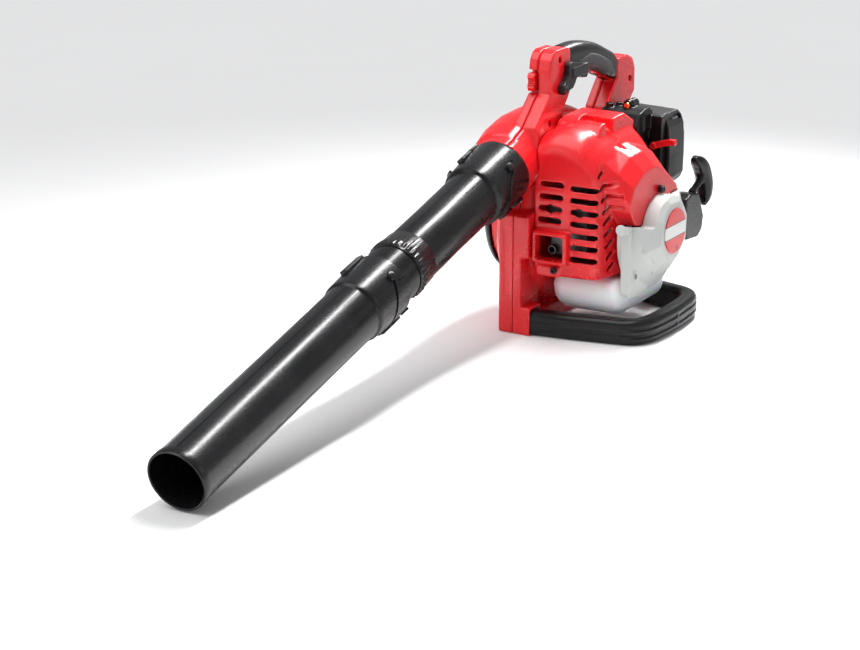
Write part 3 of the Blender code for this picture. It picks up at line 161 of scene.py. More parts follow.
FLIPS = (0.0, 180.0)         # the tube's fittings repeat on its far side
FAR = 0.5                    # half size of a box that cuts away a whole side
PIPE_SIDES = 128
ROUND = 24                   # sides of large round pieces
SMALL_ROUND = 12             # sides of small round pieces
SHARP = math.radians(35.0)


# --------------------------------------------------------------- mesh building
def new_object(name, bm):
    bmesh.ops.recalc_face_normals(bm, faces=bm.faces)
    mesh = bpy.data.meshes.new(name)
    bm.to_mesh(mesh)
    bm.free()
    obj = bpy.data.objects.new(name, mesh)
    bpy.context.scene.collection.objects.link(obj)
    return obj


def box(lo, hi, bevel=0.0, segments=2):
    bm = bmesh.new()
    bmesh.ops.create_cube(bm, size=1.0)
    size = Vector(hi) - Vector(lo)
    centre = (Vector(hi) + Vector(lo)) / 2
    place = Matrix.Translation(centre) @ Matrix.Diagonal((*size, 1.0))
    bmesh.ops.transform(bm, matrix=place, verts=bm.verts)
    if bevel:
        bmesh.ops.bevel(bm, geom=bm.edges, offset=bevel, segments=segments, profile=0.5, affect="EDGES")
    return new_object("box", bm)


def loft(rings):
    """Skin a list of point rings and cap both ends."""
    bm = bmesh.new()
    loops = [[bm.verts.new(p) for p in ring] for ring in rings]
    count = len(loops[0])
    for first, second in zip(loops, loops[1:]):
        for i in range(count):
            j = (i + 1) % count
            bm.faces.new((first[i], first[j], second[j], second[i]))
    bm.faces.new(loops[0])
    bm.faces.new(loops[-1])
    return new_object("loft", bm)


def prism(outline, axis, lo, hi, bevel=0.0):
    """Extrude an outline of two coordinates along X, Y or Z."""
    index = "XYZ".index(axis)

    def point(pair, level):
        values = list(pair)
        values.insert(index, level)
        return Vector(values)

    obj = loft([[point(p, lo) for p in outline], [point(p, hi) for p in outline]])
    if bevel:
        bm = bmesh.new()
        bm.from_mesh(obj.data)
        sharp = [e for e in bm.edges if e.calc_face_angle(0.0) > SHARP]
        bmesh.ops.bevel(bm, geom=sharp, offset=bevel, segments=2, profile=0.5, affect="EDGES")
        bm.to_mesh(obj.data)
        bm.free()
    return obj


def axis_matrix(origin, direction, sideways=(1.0, 0.0, 0.0)):
    """Local +Z runs along direction, local +X as near sideways as it can."""
    z = Vector(direction).normalized()
    x = Vector(sideways)
    x = (x - z * x.dot(z)).normalized()
    y = z.cross(x)
    rotation = Matrix((x, y, z)).transposed().to_4x4()
    return Matrix.Translation(Vector(origin)) @ rotation


def lathe(profile, matrix, sides=ROUND, closed=True):
    """Turn a profile of (radius, height) points about local Z.

    closed: the profile is a loop, so the piece is a ring.  Otherwise the
    first and last points are joined to the axis by flat ends.
    """
    bm = bmesh.new()
    loops = []
    for step in range(sides):
        turn = 2 * math.pi * step / sides
        cos, sin = math.cos(turn), math.sin(turn)
        loops.append([bm.verts.new(matrix @ Vector((r * cos, r * sin, h))) for r, h in profile])
    count = len(profile)
    for step in range(sides):
        here, there = loops[step], loops[(step + 1) % sides]
        for i in range(count if closed else count - 1):
            j = (i + 1) % count
            bm.faces.new((here[i], here[j], there[j], there[i]))
    if not closed:
        bm.faces.new([loop[0] for loop in loops])
        bm.faces.new([loop[-1] for loop in loops])
    return new_object("lathe", bm)


def rod(start, end, radius, sides=SMALL_ROUND):
    start, end = Vector(start), Vector(end)
    side = (0.0, 0.0, 1.0) if abs((end - start).normalized().x) > 0.9 else (1.0, 0.0, 0.0)
    length = (end - start).length
    return lathe([(radius, 0.0), (radius, length)], axis_matrix(start, end - start, side), sides, False)


def along_x(x=0.0, y=0.0, z=CRANK_Z):
    """Local Z becomes +X, starting from a point; heights are then X values."""
    return axis_matrix((x, y, z), (1.0, 0.0, 0.0), (0.0, 0.0, 1.0))


def along_y(x, z, y=0.0):
    """Local Z becomes +Y, starting from a point; heights are then Y values."""
    return axis_matrix((x, y, z), (0.0, 1.0, 0.0), (1.0, 0.0, 0.0))


def crank_rod(lo, hi, radius, sides):
    """Round bar on the crankshaft's axis, between two X values."""
    return rod((lo, 0.0, CRANK_Z), (hi, 0.0, CRANK_Z), radius, sides)


def toothed(rows, teeth, pattern, matrix):
    """Turned solid with teeth, from rows of (height, radius between them, radius on them)."""
    steps = teeth * len(pattern)
    rings = []
    for height, valley, crest in rows:
        points = []
        for step in range(steps):
            turn = 2 * math.pi * step / steps
            radius = valley + (crest - valley) * pattern[step % len(pattern)]
            points.append(matrix @ Vector((radius * math.cos(turn), radius * math.sin(turn), height)))
        rings.append(points)
    return loft(rings)


def rounded_section(half_w, half_h, corner, segments=3, low_corner=None):
    """Counter-clockwise rounded rectangle; low_corner rounds its lower side."""
    points = []
    high_corner = corner
    for number, (sx, sy) in enumerate(((1, 1), (-1, 1), (-1, -1), (1, -1))):
        corner = low_corner if low_corner and sy < 0 else high_corner
        cx, cy = sx * (half_w - corner), sy * (half_h - corner)
        for step in range(segments + 1):
            turn = math.pi / 2 * (number + step / segments)
            points.append((cx + corner * math.cos(turn), cy + corner * math.sin(turn)))
    return points


def sweep(path, section, up):
    """Carry a flat section along a path, keeping its second axis near up."""
    rings = []
    last = len(path) - 1
    for i, here in enumerate(path):
        before = (here - path[i - 1]).normalized() if i > 0 else (path[1] - here).normalized()
        after = (path[i + 1] - here).normalized() if i < last else before
        tangent = (before + after).normalized()
        side = tangent.cross(up).normalized()
        rise = side.cross(tangent)
        stretch = 1.0 / max(0.5, tangent.dot(after))
        rings.append([here + side * (a * stretch) + rise * b for a, b in section])
    return loft(rings)


def spline_ends(points):
    """The points as vectors, with one more at each end that steers the curve."""
    points = [Vector(p) for p in points]
    return [points[0] * 2 - points[1]] + points + [points[-1] * 2 - points[-2]]


def spline_point(span, t):
    """Catmull-Rom point between the middle two of four points."""
    p0, p1, p2, p3 = span
    cubic = (p3 - p0 + (p1 - p2) * 3) * t ** 3
    square = (p0 * 2 - p1 * 5 + p2 * 4 - p3) * t ** 2
    return (p1 * 2 + (p2 - p0) * t + square + cubic) / 2


def smooth_path(points, steps):
    """Smooth curve through points, with a number of steps per span."""
    points = spline_ends(points)
    path = []
    for first in range(len(points) - 3):
        path += [spline_point(points[first:first + 4], step / steps) for step in range(steps)]
    return path + [points[-2]]


def curve_through(rows, count):
    """Evenly shared samples of a smooth curve through rows of numbers."""
    rows = spline_ends(rows)
    spans = len(rows) - 3
    samples = []
    for number in range(count + 1):
        place = min(number / count * spans, spans - 1e-6)
        first = int(place)
        samples.append(spline_point(rows[first:first + 4], place - first))
    return samples


def boolean(base, tools, operation, tolerant=False):
    """Combine base with each tool in turn and keep the result as its mesh."""
    for tool in tools:
        modifier = base.modifiers.new(operation.lower(), "BOOLEAN")
        modifier.operation = operation
        modifier.solver = "EXACT"
        modifier.use_hole_tolerant = tolerant
        modifier.object = tool
        graph = bpy.context.evaluated_depsgraph_get()
        mesh = bpy.data.meshes.new_from_object(base.evaluated_get(graph))
        base.modifiers.clear()
        base.data = mesh
        bpy.data.objects.remove(tool)
    return base


def unite(base, *tools):
    return boolean(base, tools, "UNION")


def cut(base, *tools):
    return boolean(base, tools, "DIFFERENCE")


def copy_of(obj):
    twin = obj.copy()
    twin.data = obj.data.copy()
    bpy.context.scene.collection.objects.link(twin)
    return twin


def join(*objects):
    """Several closed solids in one piece, left as separate shells."""
    bm = bmesh.new()
    for obj in objects:
        bm.from_mesh(obj.data)
        bpy.data.objects.remove(obj)
    return new_object("group", bm)


def tube_direction():
    """Unit vector along the blower tube, towards the outlet."""
    flat = math.cos(TUBE_TILT)
    return Vector((math.sin(TUBE_YAW) * flat, -math.cos(TUBE_YAW) * flat, -math.sin(TUBE_TILT)))


def tube_frame():
    """Local +Z runs from the outlet up the tube, local +X is sideways."""
    return axis_matrix(OUTLET, -tube_direction())


def scroll_solid(wall, steps, arc):
    """The scroll, grown or shrunk by a wall thickness; a full turned disc."""
    rounding = 0.034
    rings = []
    for step in range(steps):
        turn = 360.0 * step / steps
        angle = math.radians(SCROLL_START - turn)
        out = Vector((0.0, math.cos(angle), math.sin(angle)))
        share = min(turn / SCROLL_SPAN, 1.0)
        left = CASE_INTAKE_X[0] + (CASE_INTAKE_X[1] - CASE_INTAKE_X[0]) * share + wall
        right = CASE_ENGINE_X - wall
        radius = SCROLL_MAX_R + (SCROLL_MIN_R - SCROLL_MAX_R) * share - wall
        half = (right - left) / 2
        middle = (right + left) / 2
        core = radius - rounding
        ring_points = []
        for number in range(arc + 1):
            bend = math.pi * number / arc
            place = out * (core + rounding * math.sin(bend) ** SCROLL_SQUARENESS)
            ring_points.append(place + Vector((middle - half * math.cos(bend), 0.0, CRANK_Z)))
        rings.append(ring_points)
    bm = bmesh.new()
    loops = [[bm.verts.new(p) for p in ring_points] for ring_points in rings]
    for here, there in zip(loops, loops[1:] + loops[:1]):
        for i in range(arc):
            bm.faces.new((here[i], here[i + 1], there[i + 1], there[i]))
    for end, x in ((0, CASE_INTAKE_X[0] + wall), (arc, CASE_ENGINE_X - wall)):
        hub = bm.verts.new((x, 0.0, CRANK_Z))
        for here, there in zip(loops, loops[1:] + loops[:1]):
            bm.faces.new((hub, here[end], there[end]))
    return new_object("scroll", bm)


def neck_solid(grow):
    """Flared mouth of the scroll that the blower tube pushes on to."""
    radius = NECK_R + grow
    straight = lathe([(radius, COLLAR[1] + GAP), (radius, NECK_TOP - 0.05)], tube_frame(), ROUND, False)
    profile = [(0.0360, 0.7300), (0.0430, 0.7400), (0.0462, 0.7600), (0.0462, 0.7900), (0.0400, 0.8250),
               (0.0250, NECK_TOP)]
    aside = Matrix.Translation((-0.0050, 0.0, 0.0)) @ tube_frame()
    flare = lathe([(r + grow, height) for r, height in profile], aside, ROUND, False)
    return unite(straight, flare)


def handle_bar(grow):
    """Red core that the rubber grip is fitted over."""
    path = [Vector((0.0, y, z - 0.0060)) for y, z in GRIP_LINE]
    return sweep(path, rounded_section(0.0095 + grow, 0.0120 + grow, 0.004), Vector((0, 0, 1)))


def skin(sections, grow, top_round, low_round, segments):
    """Loft rounded sections along X, grown outwards or shrunk all round."""
    rings = []
    for x, front, rear, bottom, top in sections:
        centre_y, centre_z = (front + rear) / 2, (bottom + top) / 2
        section = rounded_section((rear - front) / 2 + grow, (top - bottom) / 2 + grow, top_round + grow,
                                  segments, low_round + grow)
        rings.append([Vector((x, centre_y + a, centre_z + b)) for a, b in section])
    for point in rings[-1]:
        point.x += grow
    for point in rings[0]:
        point.x -= abs(grow)
    return loft(rings)


def grown_outline(points, distance):
    """Move every corner of a counter-clockwise outline out along its mitre."""
    grown = []
    for i, here in enumerate(points):
        here = Vector(here)
        before = (here - Vector(points[i - 1])).normalized()
        after = (Vector(points[(i + 1) % len(points)]) - here).normalized()
        normal = Vector((before.y + after.y, -before.x - after.x)).normalized()
        grown.append(here + normal * (distance / max(0.4, normal.dot(Vector((before.y, -before.x))))))
    return grown


def rope_point(distance):
    """Point on the straight stretch of rope, counted from the pulley."""
    foot_y = ROPE_LINE_R * math.sin(ROPE_TILT)
    foot_z = CRANK_Z - ROPE_LINE_R * math.cos(ROPE_TILT)
    run = Vector((0.0, math.cos(ROPE_TILT), math.sin(ROPE_TILT)))
    return Vector((PULLEY_X, foot_y, foot_z)) + run * distance


def rope_hole(radius):
    return rod(rope_point(0.03), rope_point(0.13), radius, 12)


def loop_path():
    """Middle line of the base loop, at half its height."""
    level = LOOP_H / 2
    corner_x, corner_y = LOOP_CORNER
    half = [(0.010, FOOT_Y - 0.012), (0.060, 0.0960), (0.110, 0.0860), (0.1340, 0.0810), (0.1470, 0.0755),
            (corner_x + 0.0015, 0.0650), (0.1590, 0.0500), (0.1612, 0.0250)]
    near = [Vector((x, -y, level)) for x, y in half]
    far = [Vector((x, y, level)) for x, y in reversed(half)]
    return near + [Vector((LOOP_BOW_X, 0.0, level))] + far


# ------------------------------------------------------------- finer geometry
def evaluated(obj):
    """Apply every modifier of an object to its own mesh."""
    graph = bpy.context.evaluated_depsgraph_get()
    mesh = bpy.data.meshes.new_from_object(obj.evaluated_get(graph))
    obj.modifiers.clear()
    obj.data = mesh
    return obj


def melt(obj, voxel, passes=4):
    """Turn hard edged solids into one moulded skin with soft fillets."""
    remesh = obj.modifiers.new("remesh", "REMESH")
    remesh.mode = "VOXEL"
    remesh.voxel_size = voxel
    remesh.use_smooth_shade = True
    smooth = obj.modifiers.new("smooth", "SMOOTH")
    smooth.factor = 0.5
    smooth.iterations = passes
    return evaluated(obj)


def smooth_sections(sections, count):
    """Finer version of the cover's sections, along a smooth curve."""
    left = curve_through([(a, b, c) for a, b, c, d, e in sections], count)
    right = curve_through([(a, d, e) for a, b, c, d, e in sections], count)
    return [(p.x, p.y, p.z, q.y, q.z) for p, q in zip(left, right)]


def tube_point(turn, radius, height):
    """Point on the tube; turn is counted in degrees from +X over the top."""
    angle = math.radians(-turn)
    return tube_frame() @ Vector((radius * math.cos(angle), radius * math.sin(angle), height))


def tube_band(path, low, high, half_width, steps):
    """Bar that follows the tube's skin through (turn, height) pairs."""
    pairs = curve_through([(turn, height, 0.0) for turn, height in path], steps)
    middle = [tube_point(p.x, (low + high) / 2, p.y) for p in pairs]
    top_share = 0.8
    rings = []
    for i, pair in enumerate(pairs):
        inner = tube_point(pair.x, low, pair.y)
        outer = tube_point(pair.x, high, pair.y)
        run = (middle[min(i + 1, steps)] - middle[max(i - 1, 0)]).normalized()
        side = (outer - inner).normalized().cross(run).normalized() * half_width
        rings.append([inner - side, inner + side, outer + side * top_share, outer - side * top_share])
    return loft(rings)


def around(path, flip):
    """The same (turn, height) path, further round the tube."""
    return [(turn + flip, height) for turn, height in path]


def tube_lug(turn, reach, half_width, low, high, bevel):
    """Rounded block that stands on the tube's skin."""
    lug = box((-0.0055, -half_width, low), (0.0055, half_width, high), bevel, 3)
    spin = Matrix.Rotation(math.radians(-turn), 4, "Z") @ Matrix.Translation((reach, 0.0, 0.0))
    lug.data.transform(tube_frame() @ spin @ Matrix.Rotation(math.radians(90.0), 4, "Z"))
    return lug


def tube_ribs(turns, low, high, radius):
    """Short raised ribs along the tube, on both of its sides."""
    ribs = []
    for turn in turns:
        for flip in FLIPS:
            path = [(turn + flip, height) for height in (low, (low + high) / 2, high)]
            ribs.append(tube_band(path, radius - 0.001, radius + 0.0011, 0.0007, 6))
    return ribs


def mould_seams(radius, heights):
    """Thin parting lines over and under the tube."""
    paths = [[(turn, height) for height in heights] for turn in (90.0, -90.0)]
    return [tube_band(path, radius - 0.0007, radius + 0.00035, 0.00035, 8) for path in paths]


def hex_head(matrix, radius, height):
    """Round machine screw head with a recessed socket."""
    head = lathe([(radius * 0.5, -height), (radius, 0.0), (radius, height * 0.72),
                  (radius * 0.93, height * 0.93), (radius * 0.8, height)], matrix, 40, False)
    hole = lathe([(radius * 0.52, height * 0.35), (radius * 0.52, height * 1.5)], matrix, 6, False)
    return cut(head, hole)


# ------------------------------------------------------------------- materials
class Nodes:
    """Small builder for one procedural material."""

    def __init__(self, name):
        self.material = bpy.data.materials.new(name)
        self.material.use_nodes = True
        self.tree = self.material.node_tree
        self.shader = self.tree.nodes["Principled BSDF"]
        self.place = self.add("ShaderNodeTexCoord").outputs["Object"]

    def add(self, kind):
        return self.tree.nodes.new(kind)

    def link(self, source, target):
        self.tree.links.new(source, target)

    def stretched(self, scale):
        node = self.add("ShaderNodeMapping")
        node.inputs["Scale"].default_value = scale
        self.link(self.place, node.inputs["Vector"])
        return node.outputs["Vector"]

    def noise(self, scale, detail, place=None):
        node = self.add("ShaderNodeTexNoise")
        node.inputs["Scale"].default_value = scale
        node.inputs["Detail"].default_value = detail
        node.inputs["Roughness"].default_value = 0.55
        self.link(place or self.place, node.inputs["Vector"])
        return node.outputs["Fac"]

    def ramp(self, source, low, high, first, second):
        node = self.add("ShaderNodeMapRange")
        node.inputs["From Min"].default_value = low
        node.inputs["From Max"].default_value = high
        node.inputs["To Min"].default_value = first
        node.inputs["To Max"].default_value = second
        self.link(source, node.inputs["Value"])
        return node.outputs["Result"]

    def mix(self, factor, first, second):
        node = self.add("ShaderNodeMix")
        node.data_type = "RGBA"
        self.link(factor, node.inputs["Factor"])
        for value, socket in ((first, node.inputs["A"]), (second, node.inputs["B"])):
            if isinstance(value, (tuple, list)):
                socket.default_value = (*value, 1.0)
            else:
                self.link(value, socket)
        return node.outputs["Result"]

    def sum(self, first, second, operation="ADD"):
        node = self.add("ShaderNodeMath")
        node.operation = operation
        self.link(first, node.inputs[0])
        if isinstance(second, (int, float)):
            node.inputs[1].default_value = second
        else:
            self.link(second, node.inputs[1])
        return node.outputs["Value"]

    def bump(self, source, strength, distance, below=None):
        node = self.add("ShaderNodeBump")
        node.inputs["Strength"].default_value = strength
        node.inputs["Distance"].default_value = distance
        self.link(source, node.inputs["Height"])
        if below is not None:
            self.link(below, node.inputs["Normal"])
        return node.outputs["Normal"]

    def edges(self):
        """One along raised edges, zero elsewhere."""
        sharp = self.add("ShaderNodeNewGeometry").outputs["Pointiness"]
        return self.ramp(sharp, 0.54, 0.66, 0.0, 1.0)

    def set(self, **values):
        for key, value in values.items():
            socket = self.shader.inputs[key.replace("_", " ")]
            if isinstance(value, bpy.types.NodeSocket):
                self.link(value, socket)
            else:
                socket.default_value = value


def shades(colour, factor):
    return tuple(min(1.0, c * factor) for c in colour)


def moulded(name, colour, roughness, grain, grain_depth, wear, specular=0.5):
    """Moulded plastic: uneven gloss, fine grain, handling scratches, pale worn edges."""
    m = Nodes(name)
    cloud = m.noise(9.0, 4.0)
    tone = m.mix(m.ramp(cloud, 0.3, 0.7, 0.0, 1.0), shades(colour, 0.93), shades(colour, 1.05))
    worn = tuple(min(1.0, c * 1.25 + wear) for c in colour)
    chips = m.ramp(m.noise(160.0, 5.0), 0.50, 0.62, 0.0, 0.12)
    edge = m.sum(m.edges(), chips, "MULTIPLY")
    tone = m.mix(edge, tone, worn)
    grit = m.noise(grain, 2.0)
    streaks = m.noise(1.0, 4.0, m.stretched((260.0, 30.0, 190.0)))
    rough = m.sum(m.ramp(cloud, 0.3, 0.7, roughness - 0.03, roughness + 0.05),
                  m.ramp(streaks, 0.55, 0.80, 0.0, 0.05))
    normal = m.bump(grit, grain_depth, 0.00006)
    normal = m.bump(m.noise(22.0, 2.0), 0.02, 0.0010, normal)
    m.set(Base_Color=tone, Roughness=rough, Normal=normal, Specular_IOR_Level=specular)
    return m.material


def tube_plastic():
    """Blow moulded black pipe: glossy, with faint rings and long rubbed streaks."""
    m = Nodes("tube_plastic_mat")
    along = m.add("ShaderNodeMapping")
    along.inputs["Rotation"].default_value = (-TUBE_TILT, 0.0, 0.0)
    along.inputs["Scale"].default_value = (320.0, 9.0, 320.0)
    m.link(m.place, along.inputs["Vector"])
    streaks = m.noise(1.0, 5.0, along.outputs["Vector"])
    cloud = m.noise(14.0, 4.0)
    tone = m.mix(m.ramp(cloud, 0.35, 0.7, 0.0, 1.0), (0.0045, 0.0045, 0.0050), (0.0080, 0.0080, 0.0088))
    tone = m.mix(m.ramp(streaks, 0.64, 0.82, 0.0, 0.12), tone, (0.03, 0.03, 0.032))
    rough = m.sum(m.ramp(cloud, 0.3, 0.7, 0.23, 0.29), m.ramp(streaks, 0.5, 0.8, 0.0, 0.035))
    normal = m.bump(m.noise(2400.0, 2.0), 0.06, 0.00005)
    normal = m.bump(m.noise(30.0, 2.0), 0.02, 0.001, normal)
    m.set(Base_Color=tone, Roughness=rough, Normal=normal, Specular_IOR_Level=0.34)
    return m.material


def rubber(name, colour, dimple):
    """Soft grip rubber with a fine dimple pattern and rubbed high spots."""
    m = Nodes(name)
    cells = m.add("ShaderNodeTexVoronoi")
    cells.feature = "F1"
    cells.inputs["Scale"].default_value = dimple
    cells.inputs["Randomness"].default_value = 0.35
    m.link(m.place, cells.inputs["Vector"])
    dots = m.ramp(cells.outputs["Distance"], 0.15, 0.55, 1.0, 0.0)
    cloud = m.noise(30.0, 5.0)
    tone = m.mix(m.ramp(cloud, 0.35, 0.7, 0.0, 1.0), shades(colour, 0.8), shades(colour, 1.25))
    tone = m.mix(m.sum(dots, 0.35, "MULTIPLY"), tone, shades(colour, 1.9))
    normal = m.bump(dots, 0.5, 0.0003)
    rough = m.ramp(cloud, 0.3, 0.7, 0.48, 0.66)
    m.set(Base_Color=tone, Roughness=rough, Normal=normal, Specular_IOR_Level=0.36)
    return m.material


def metal(name, colour, roughness, cast=False, brushed=False):
    """Machined, cast or sooty metal with tool marks and stains."""
    m = Nodes(name)
    cloud = m.noise(40.0, 6.0)
    stained = tuple((a + b) / 2 for a, b in zip(colour, (0.05, 0.04, 0.035)))
    tone = m.mix(m.ramp(cloud, 0.48, 0.78, 0.0, 0.55), colour, stained)
    tone = m.mix(m.sum(m.edges(), 0.5, "MULTIPLY"), tone, shades(colour, 1.35))
    normal = m.bump(m.noise(700.0 if cast else 1400.0, 3.0), 0.35 if cast else 0.08, 0.0002)
    if brushed:
        lines = m.noise(1.0, 3.0, m.stretched((1500.0, 60.0, 60.0)))
        normal = m.bump(lines, 0.12, 0.0001, normal)
    rough = m.ramp(cloud, 0.3, 0.75, roughness - 0.06, roughness + 0.12)
    m.set(Base_Color=tone, Roughness=rough, Normal=normal, Metallic=1.0)
    return m.material


def tank_plastic():
    """Milky translucent fuel tank."""
    m = Nodes("tank_plastic_mat")
    cloud = m.noise(16.0, 4.0)
    height = m.add("ShaderNodeSeparateXYZ")
    m.link(m.place, height.inputs["Vector"])
    fuel = m.ramp(height.outputs["Z"], 0.046, 0.056, 1.0, 0.0)
    tone = m.mix(m.ramp(cloud, 0.3, 0.7, 0.0, 1.0), (0.80, 0.82, 0.86), (0.88, 0.89, 0.92))
    tone = m.mix(m.sum(fuel, 0.35, "MULTIPLY"), tone, (0.66, 0.68, 0.72))
    normal = m.bump(m.noise(420.0, 2.0), 0.10, 0.0002)
    normal = m.bump(m.noise(30.0, 2.0), 0.10, 0.001, normal)
    m.set(Base_Color=tone, Roughness=m.ramp(cloud, 0.3, 0.7, 0.30, 0.42), Normal=normal)
    m.set(Subsurface_Weight=0.35, Subsurface_Scale=0.008)
    return m.material


def foam():
    m = Nodes("filter_foam_mat")
    cells = m.add("ShaderNodeTexVoronoi")
    cells.inputs["Scale"].default_value = 900.0
    m.link(m.place, cells.inputs["Vector"])
    holes = m.ramp(cells.outputs["Distance"], 0.2, 0.6, 0.0, 1.0)
    tone = m.mix(holes, (0.03, 0.03, 0.034), (0.12, 0.12, 0.13))
    m.set(Base_Color=tone, Roughness=0.95, Normal=m.bump(holes, 0.8, 0.0006))
    return m.material


def braid():
    """Woven starter cord."""
    m = Nodes("rope_mat")
    weave = m.add("ShaderNodeTexWave")
    weave.wave_type = "BANDS"
    weave.bands_direction = "DIAGONAL"
    weave.inputs["Scale"].default_value = 420.0
    weave.inputs["Distortion"].default_value = 1.5
    m.link(m.place, weave.inputs["Vector"])
    tone = m.mix(weave.outputs["Fac"], (0.42, 0.40, 0.37), (0.82, 0.81, 0.77))
    dirt = m.ramp(m.noise(60.0, 4.0), 0.45, 0.75, 0.0, 0.5)
    tone = m.mix(dirt, tone, (0.20, 0.18, 0.16))
    m.set(Base_Color=tone, Roughness=0.85, Normal=m.bump(weave.outputs["Fac"], 0.6, 0.0004))
    return m.material


def badge():
    """Plain two colour disc: a pale band with a dark edge across red."""
    m = Nodes("badge_mat")
    split = m.add("ShaderNodeSeparateXYZ")
    m.link(m.place, split.inputs["Vector"])
    level = m.sum(split.outputs["Z"], -CRANK_Z - 0.0010)
    size = m.sum(level, 0.0, "ABSOLUTE")
    band = m.ramp(size, 0.0088, 0.0090, 1.0, 0.0)
    frame_line = m.sum(m.ramp(size, 0.0076, 0.0078, 0.0, 1.0), band, "MULTIPLY")
    cloud = m.noise(60.0, 4.0)
    red = m.mix(m.ramp(cloud, 0.3, 0.7, 0.0, 1.0), (0.60, 0.030, 0.035), (0.72, 0.045, 0.05))
    tone = m.mix(band, red, (0.74, 0.74, 0.73))
    tone = m.mix(frame_line, tone, (0.05, 0.05, 0.05))
    m.set(Base_Color=tone, Roughness=m.ramp(cloud, 0.3, 0.7, 0.26, 0.36),
          Normal=m.bump(m.noise(700.0, 2.0), 0.08, 0.0001))
    return m.material


def make_finishes():
    red = (0.72, 0.010, 0.015)
    return {
        "red": moulded("red_plastic_mat", red, 0.24, 2200.0, 0.04, 0.04),
        "black": moulded("black_plastic_mat", (0.0060, 0.0060, 0.0066), 0.28, 2200.0, 0.06, 0.015, 0.32),
        "satin": moulded("satin_plastic_mat", (0.0085, 0.0085, 0.0092), 0.40, 1500.0, 0.22, 0.02, 0.34),
        "tube": tube_plastic(),
        "rubber": rubber("grip_rubber_mat", (0.011, 0.011, 0.012), 1400.0),
        "patch": rubber("grip_patch_mat", (0.060, 0.060, 0.064), 1100.0),
        "grey": moulded("grey_plastic_mat", (0.50, 0.515, 0.50), 0.38, 1800.0, 0.16, 0.04),
        "tank": tank_plastic(),
        "steel": metal("steel_mat", (0.50, 0.50, 0.51), 0.30, brushed=True),
        "dark_steel": metal("dark_steel_mat", (0.09, 0.088, 0.088), 0.42),
        "aluminium": metal("cast_aluminium_mat", (0.60, 0.60, 0.61), 0.42, cast=True),
        "brass": metal("brass_mat", (0.62, 0.40, 0.16), 0.28),
        "foam": foam(),
        "rope": braid(),
        "badge": badge(),
    }


def settle(obj, name, finish_name, body, *nodes, smooth=35.0):
    """Name a piece, give it its finish and hang it on its CAD body."""
    obj.name = name
    obj.data.name = name
    obj.data.materials.clear()
    obj.data.materials.append(FINISH[finish_name])
    obj.data.shade_smooth()
    if smooth:
        obj.data.set_sharp_from_angle(angle=math.radians(smooth))
    if body:
        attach(obj, body)
    if nodes:
        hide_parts(*nodes)
    return obj


# ---------------------------------------------------------------- tube pieces


def make_end_tube():
    low, high = END_BELL
    inner = OUTLET_R - TUBE_WALL
    profile = [
        (inner - 0.0002, 0.0006), (inner, 0.0040), (END_TUBE_R - TUBE_WALL, low + 0.010),
        (BELL_BORE_R, low + 0.013), (BELL_BORE_R, high - 0.0008), (BELL_BORE_R + 0.0008, high),
        (0.0392, high), (0.0399, high - 0.0008), (0.0402, high - 0.006), (0.0394, low + 0.020),
        (0.0388, low + 0.006), (0.0386, low + 0.0015), (0.0380, low + 0.0003), (0.0370, low - 0.0003),
        (END_TUBE_R + 0.0002, low - 0.0016), (END_TUBE_R, low - 0.0030), (END_TUBE_R - 0.0002, 0.200),
        (OUTLET_R - 0.0006, 0.0140), (OUTLET_R + 0.0002, 0.0105), (OUTLET_R + 0.0003, 0.0012),
        (OUTLET_R - 0.0004, 0.0), (inner + 0.0006, 0.0),
    ]
    pipe = lathe(profile, tube_frame(), PIPE_SIDES)
    groove = [(47.0, 0.4085), (28.0, 0.4020), (4.0, 0.3960), (-24.0, 0.3925), (-52.0, 0.3905)]
    key = [(-43.0, high - 0.010), (-43.0, high - 0.002), (-43.0, high + 0.004)]
    mark = [(31.0, high - 0.011), (31.0, high - 0.005), (31.0, high)]
    cut(pipe, *[tube_band(around(groove, flip), 0.0384, 0.0425, 0.0030, 28) for flip in FLIPS])
    solids = [pipe]
    for flip in FLIPS:
        solids.append(tube_lug(117.0 + flip, 0.0405, 0.0032, low + 0.022, high - 0.004, 0.0014))
        solids.append(tube_band(around(key, flip), 0.0360, 0.0420, 0.0022, 6))
        solids.append(tube_band(around(mark, flip), 0.0390, 0.0412, 0.0012, 6))
    solids += tube_ribs((64.5, 42.0, 20.5), 0.325, 0.3575, END_TUBE_R)
    solids += mould_seams(END_TUBE_R, (0.004, 0.18, 0.3560))
    settle(join(*solids), "end_pipe_skin", "tube", "end_tube", "end_pipe")


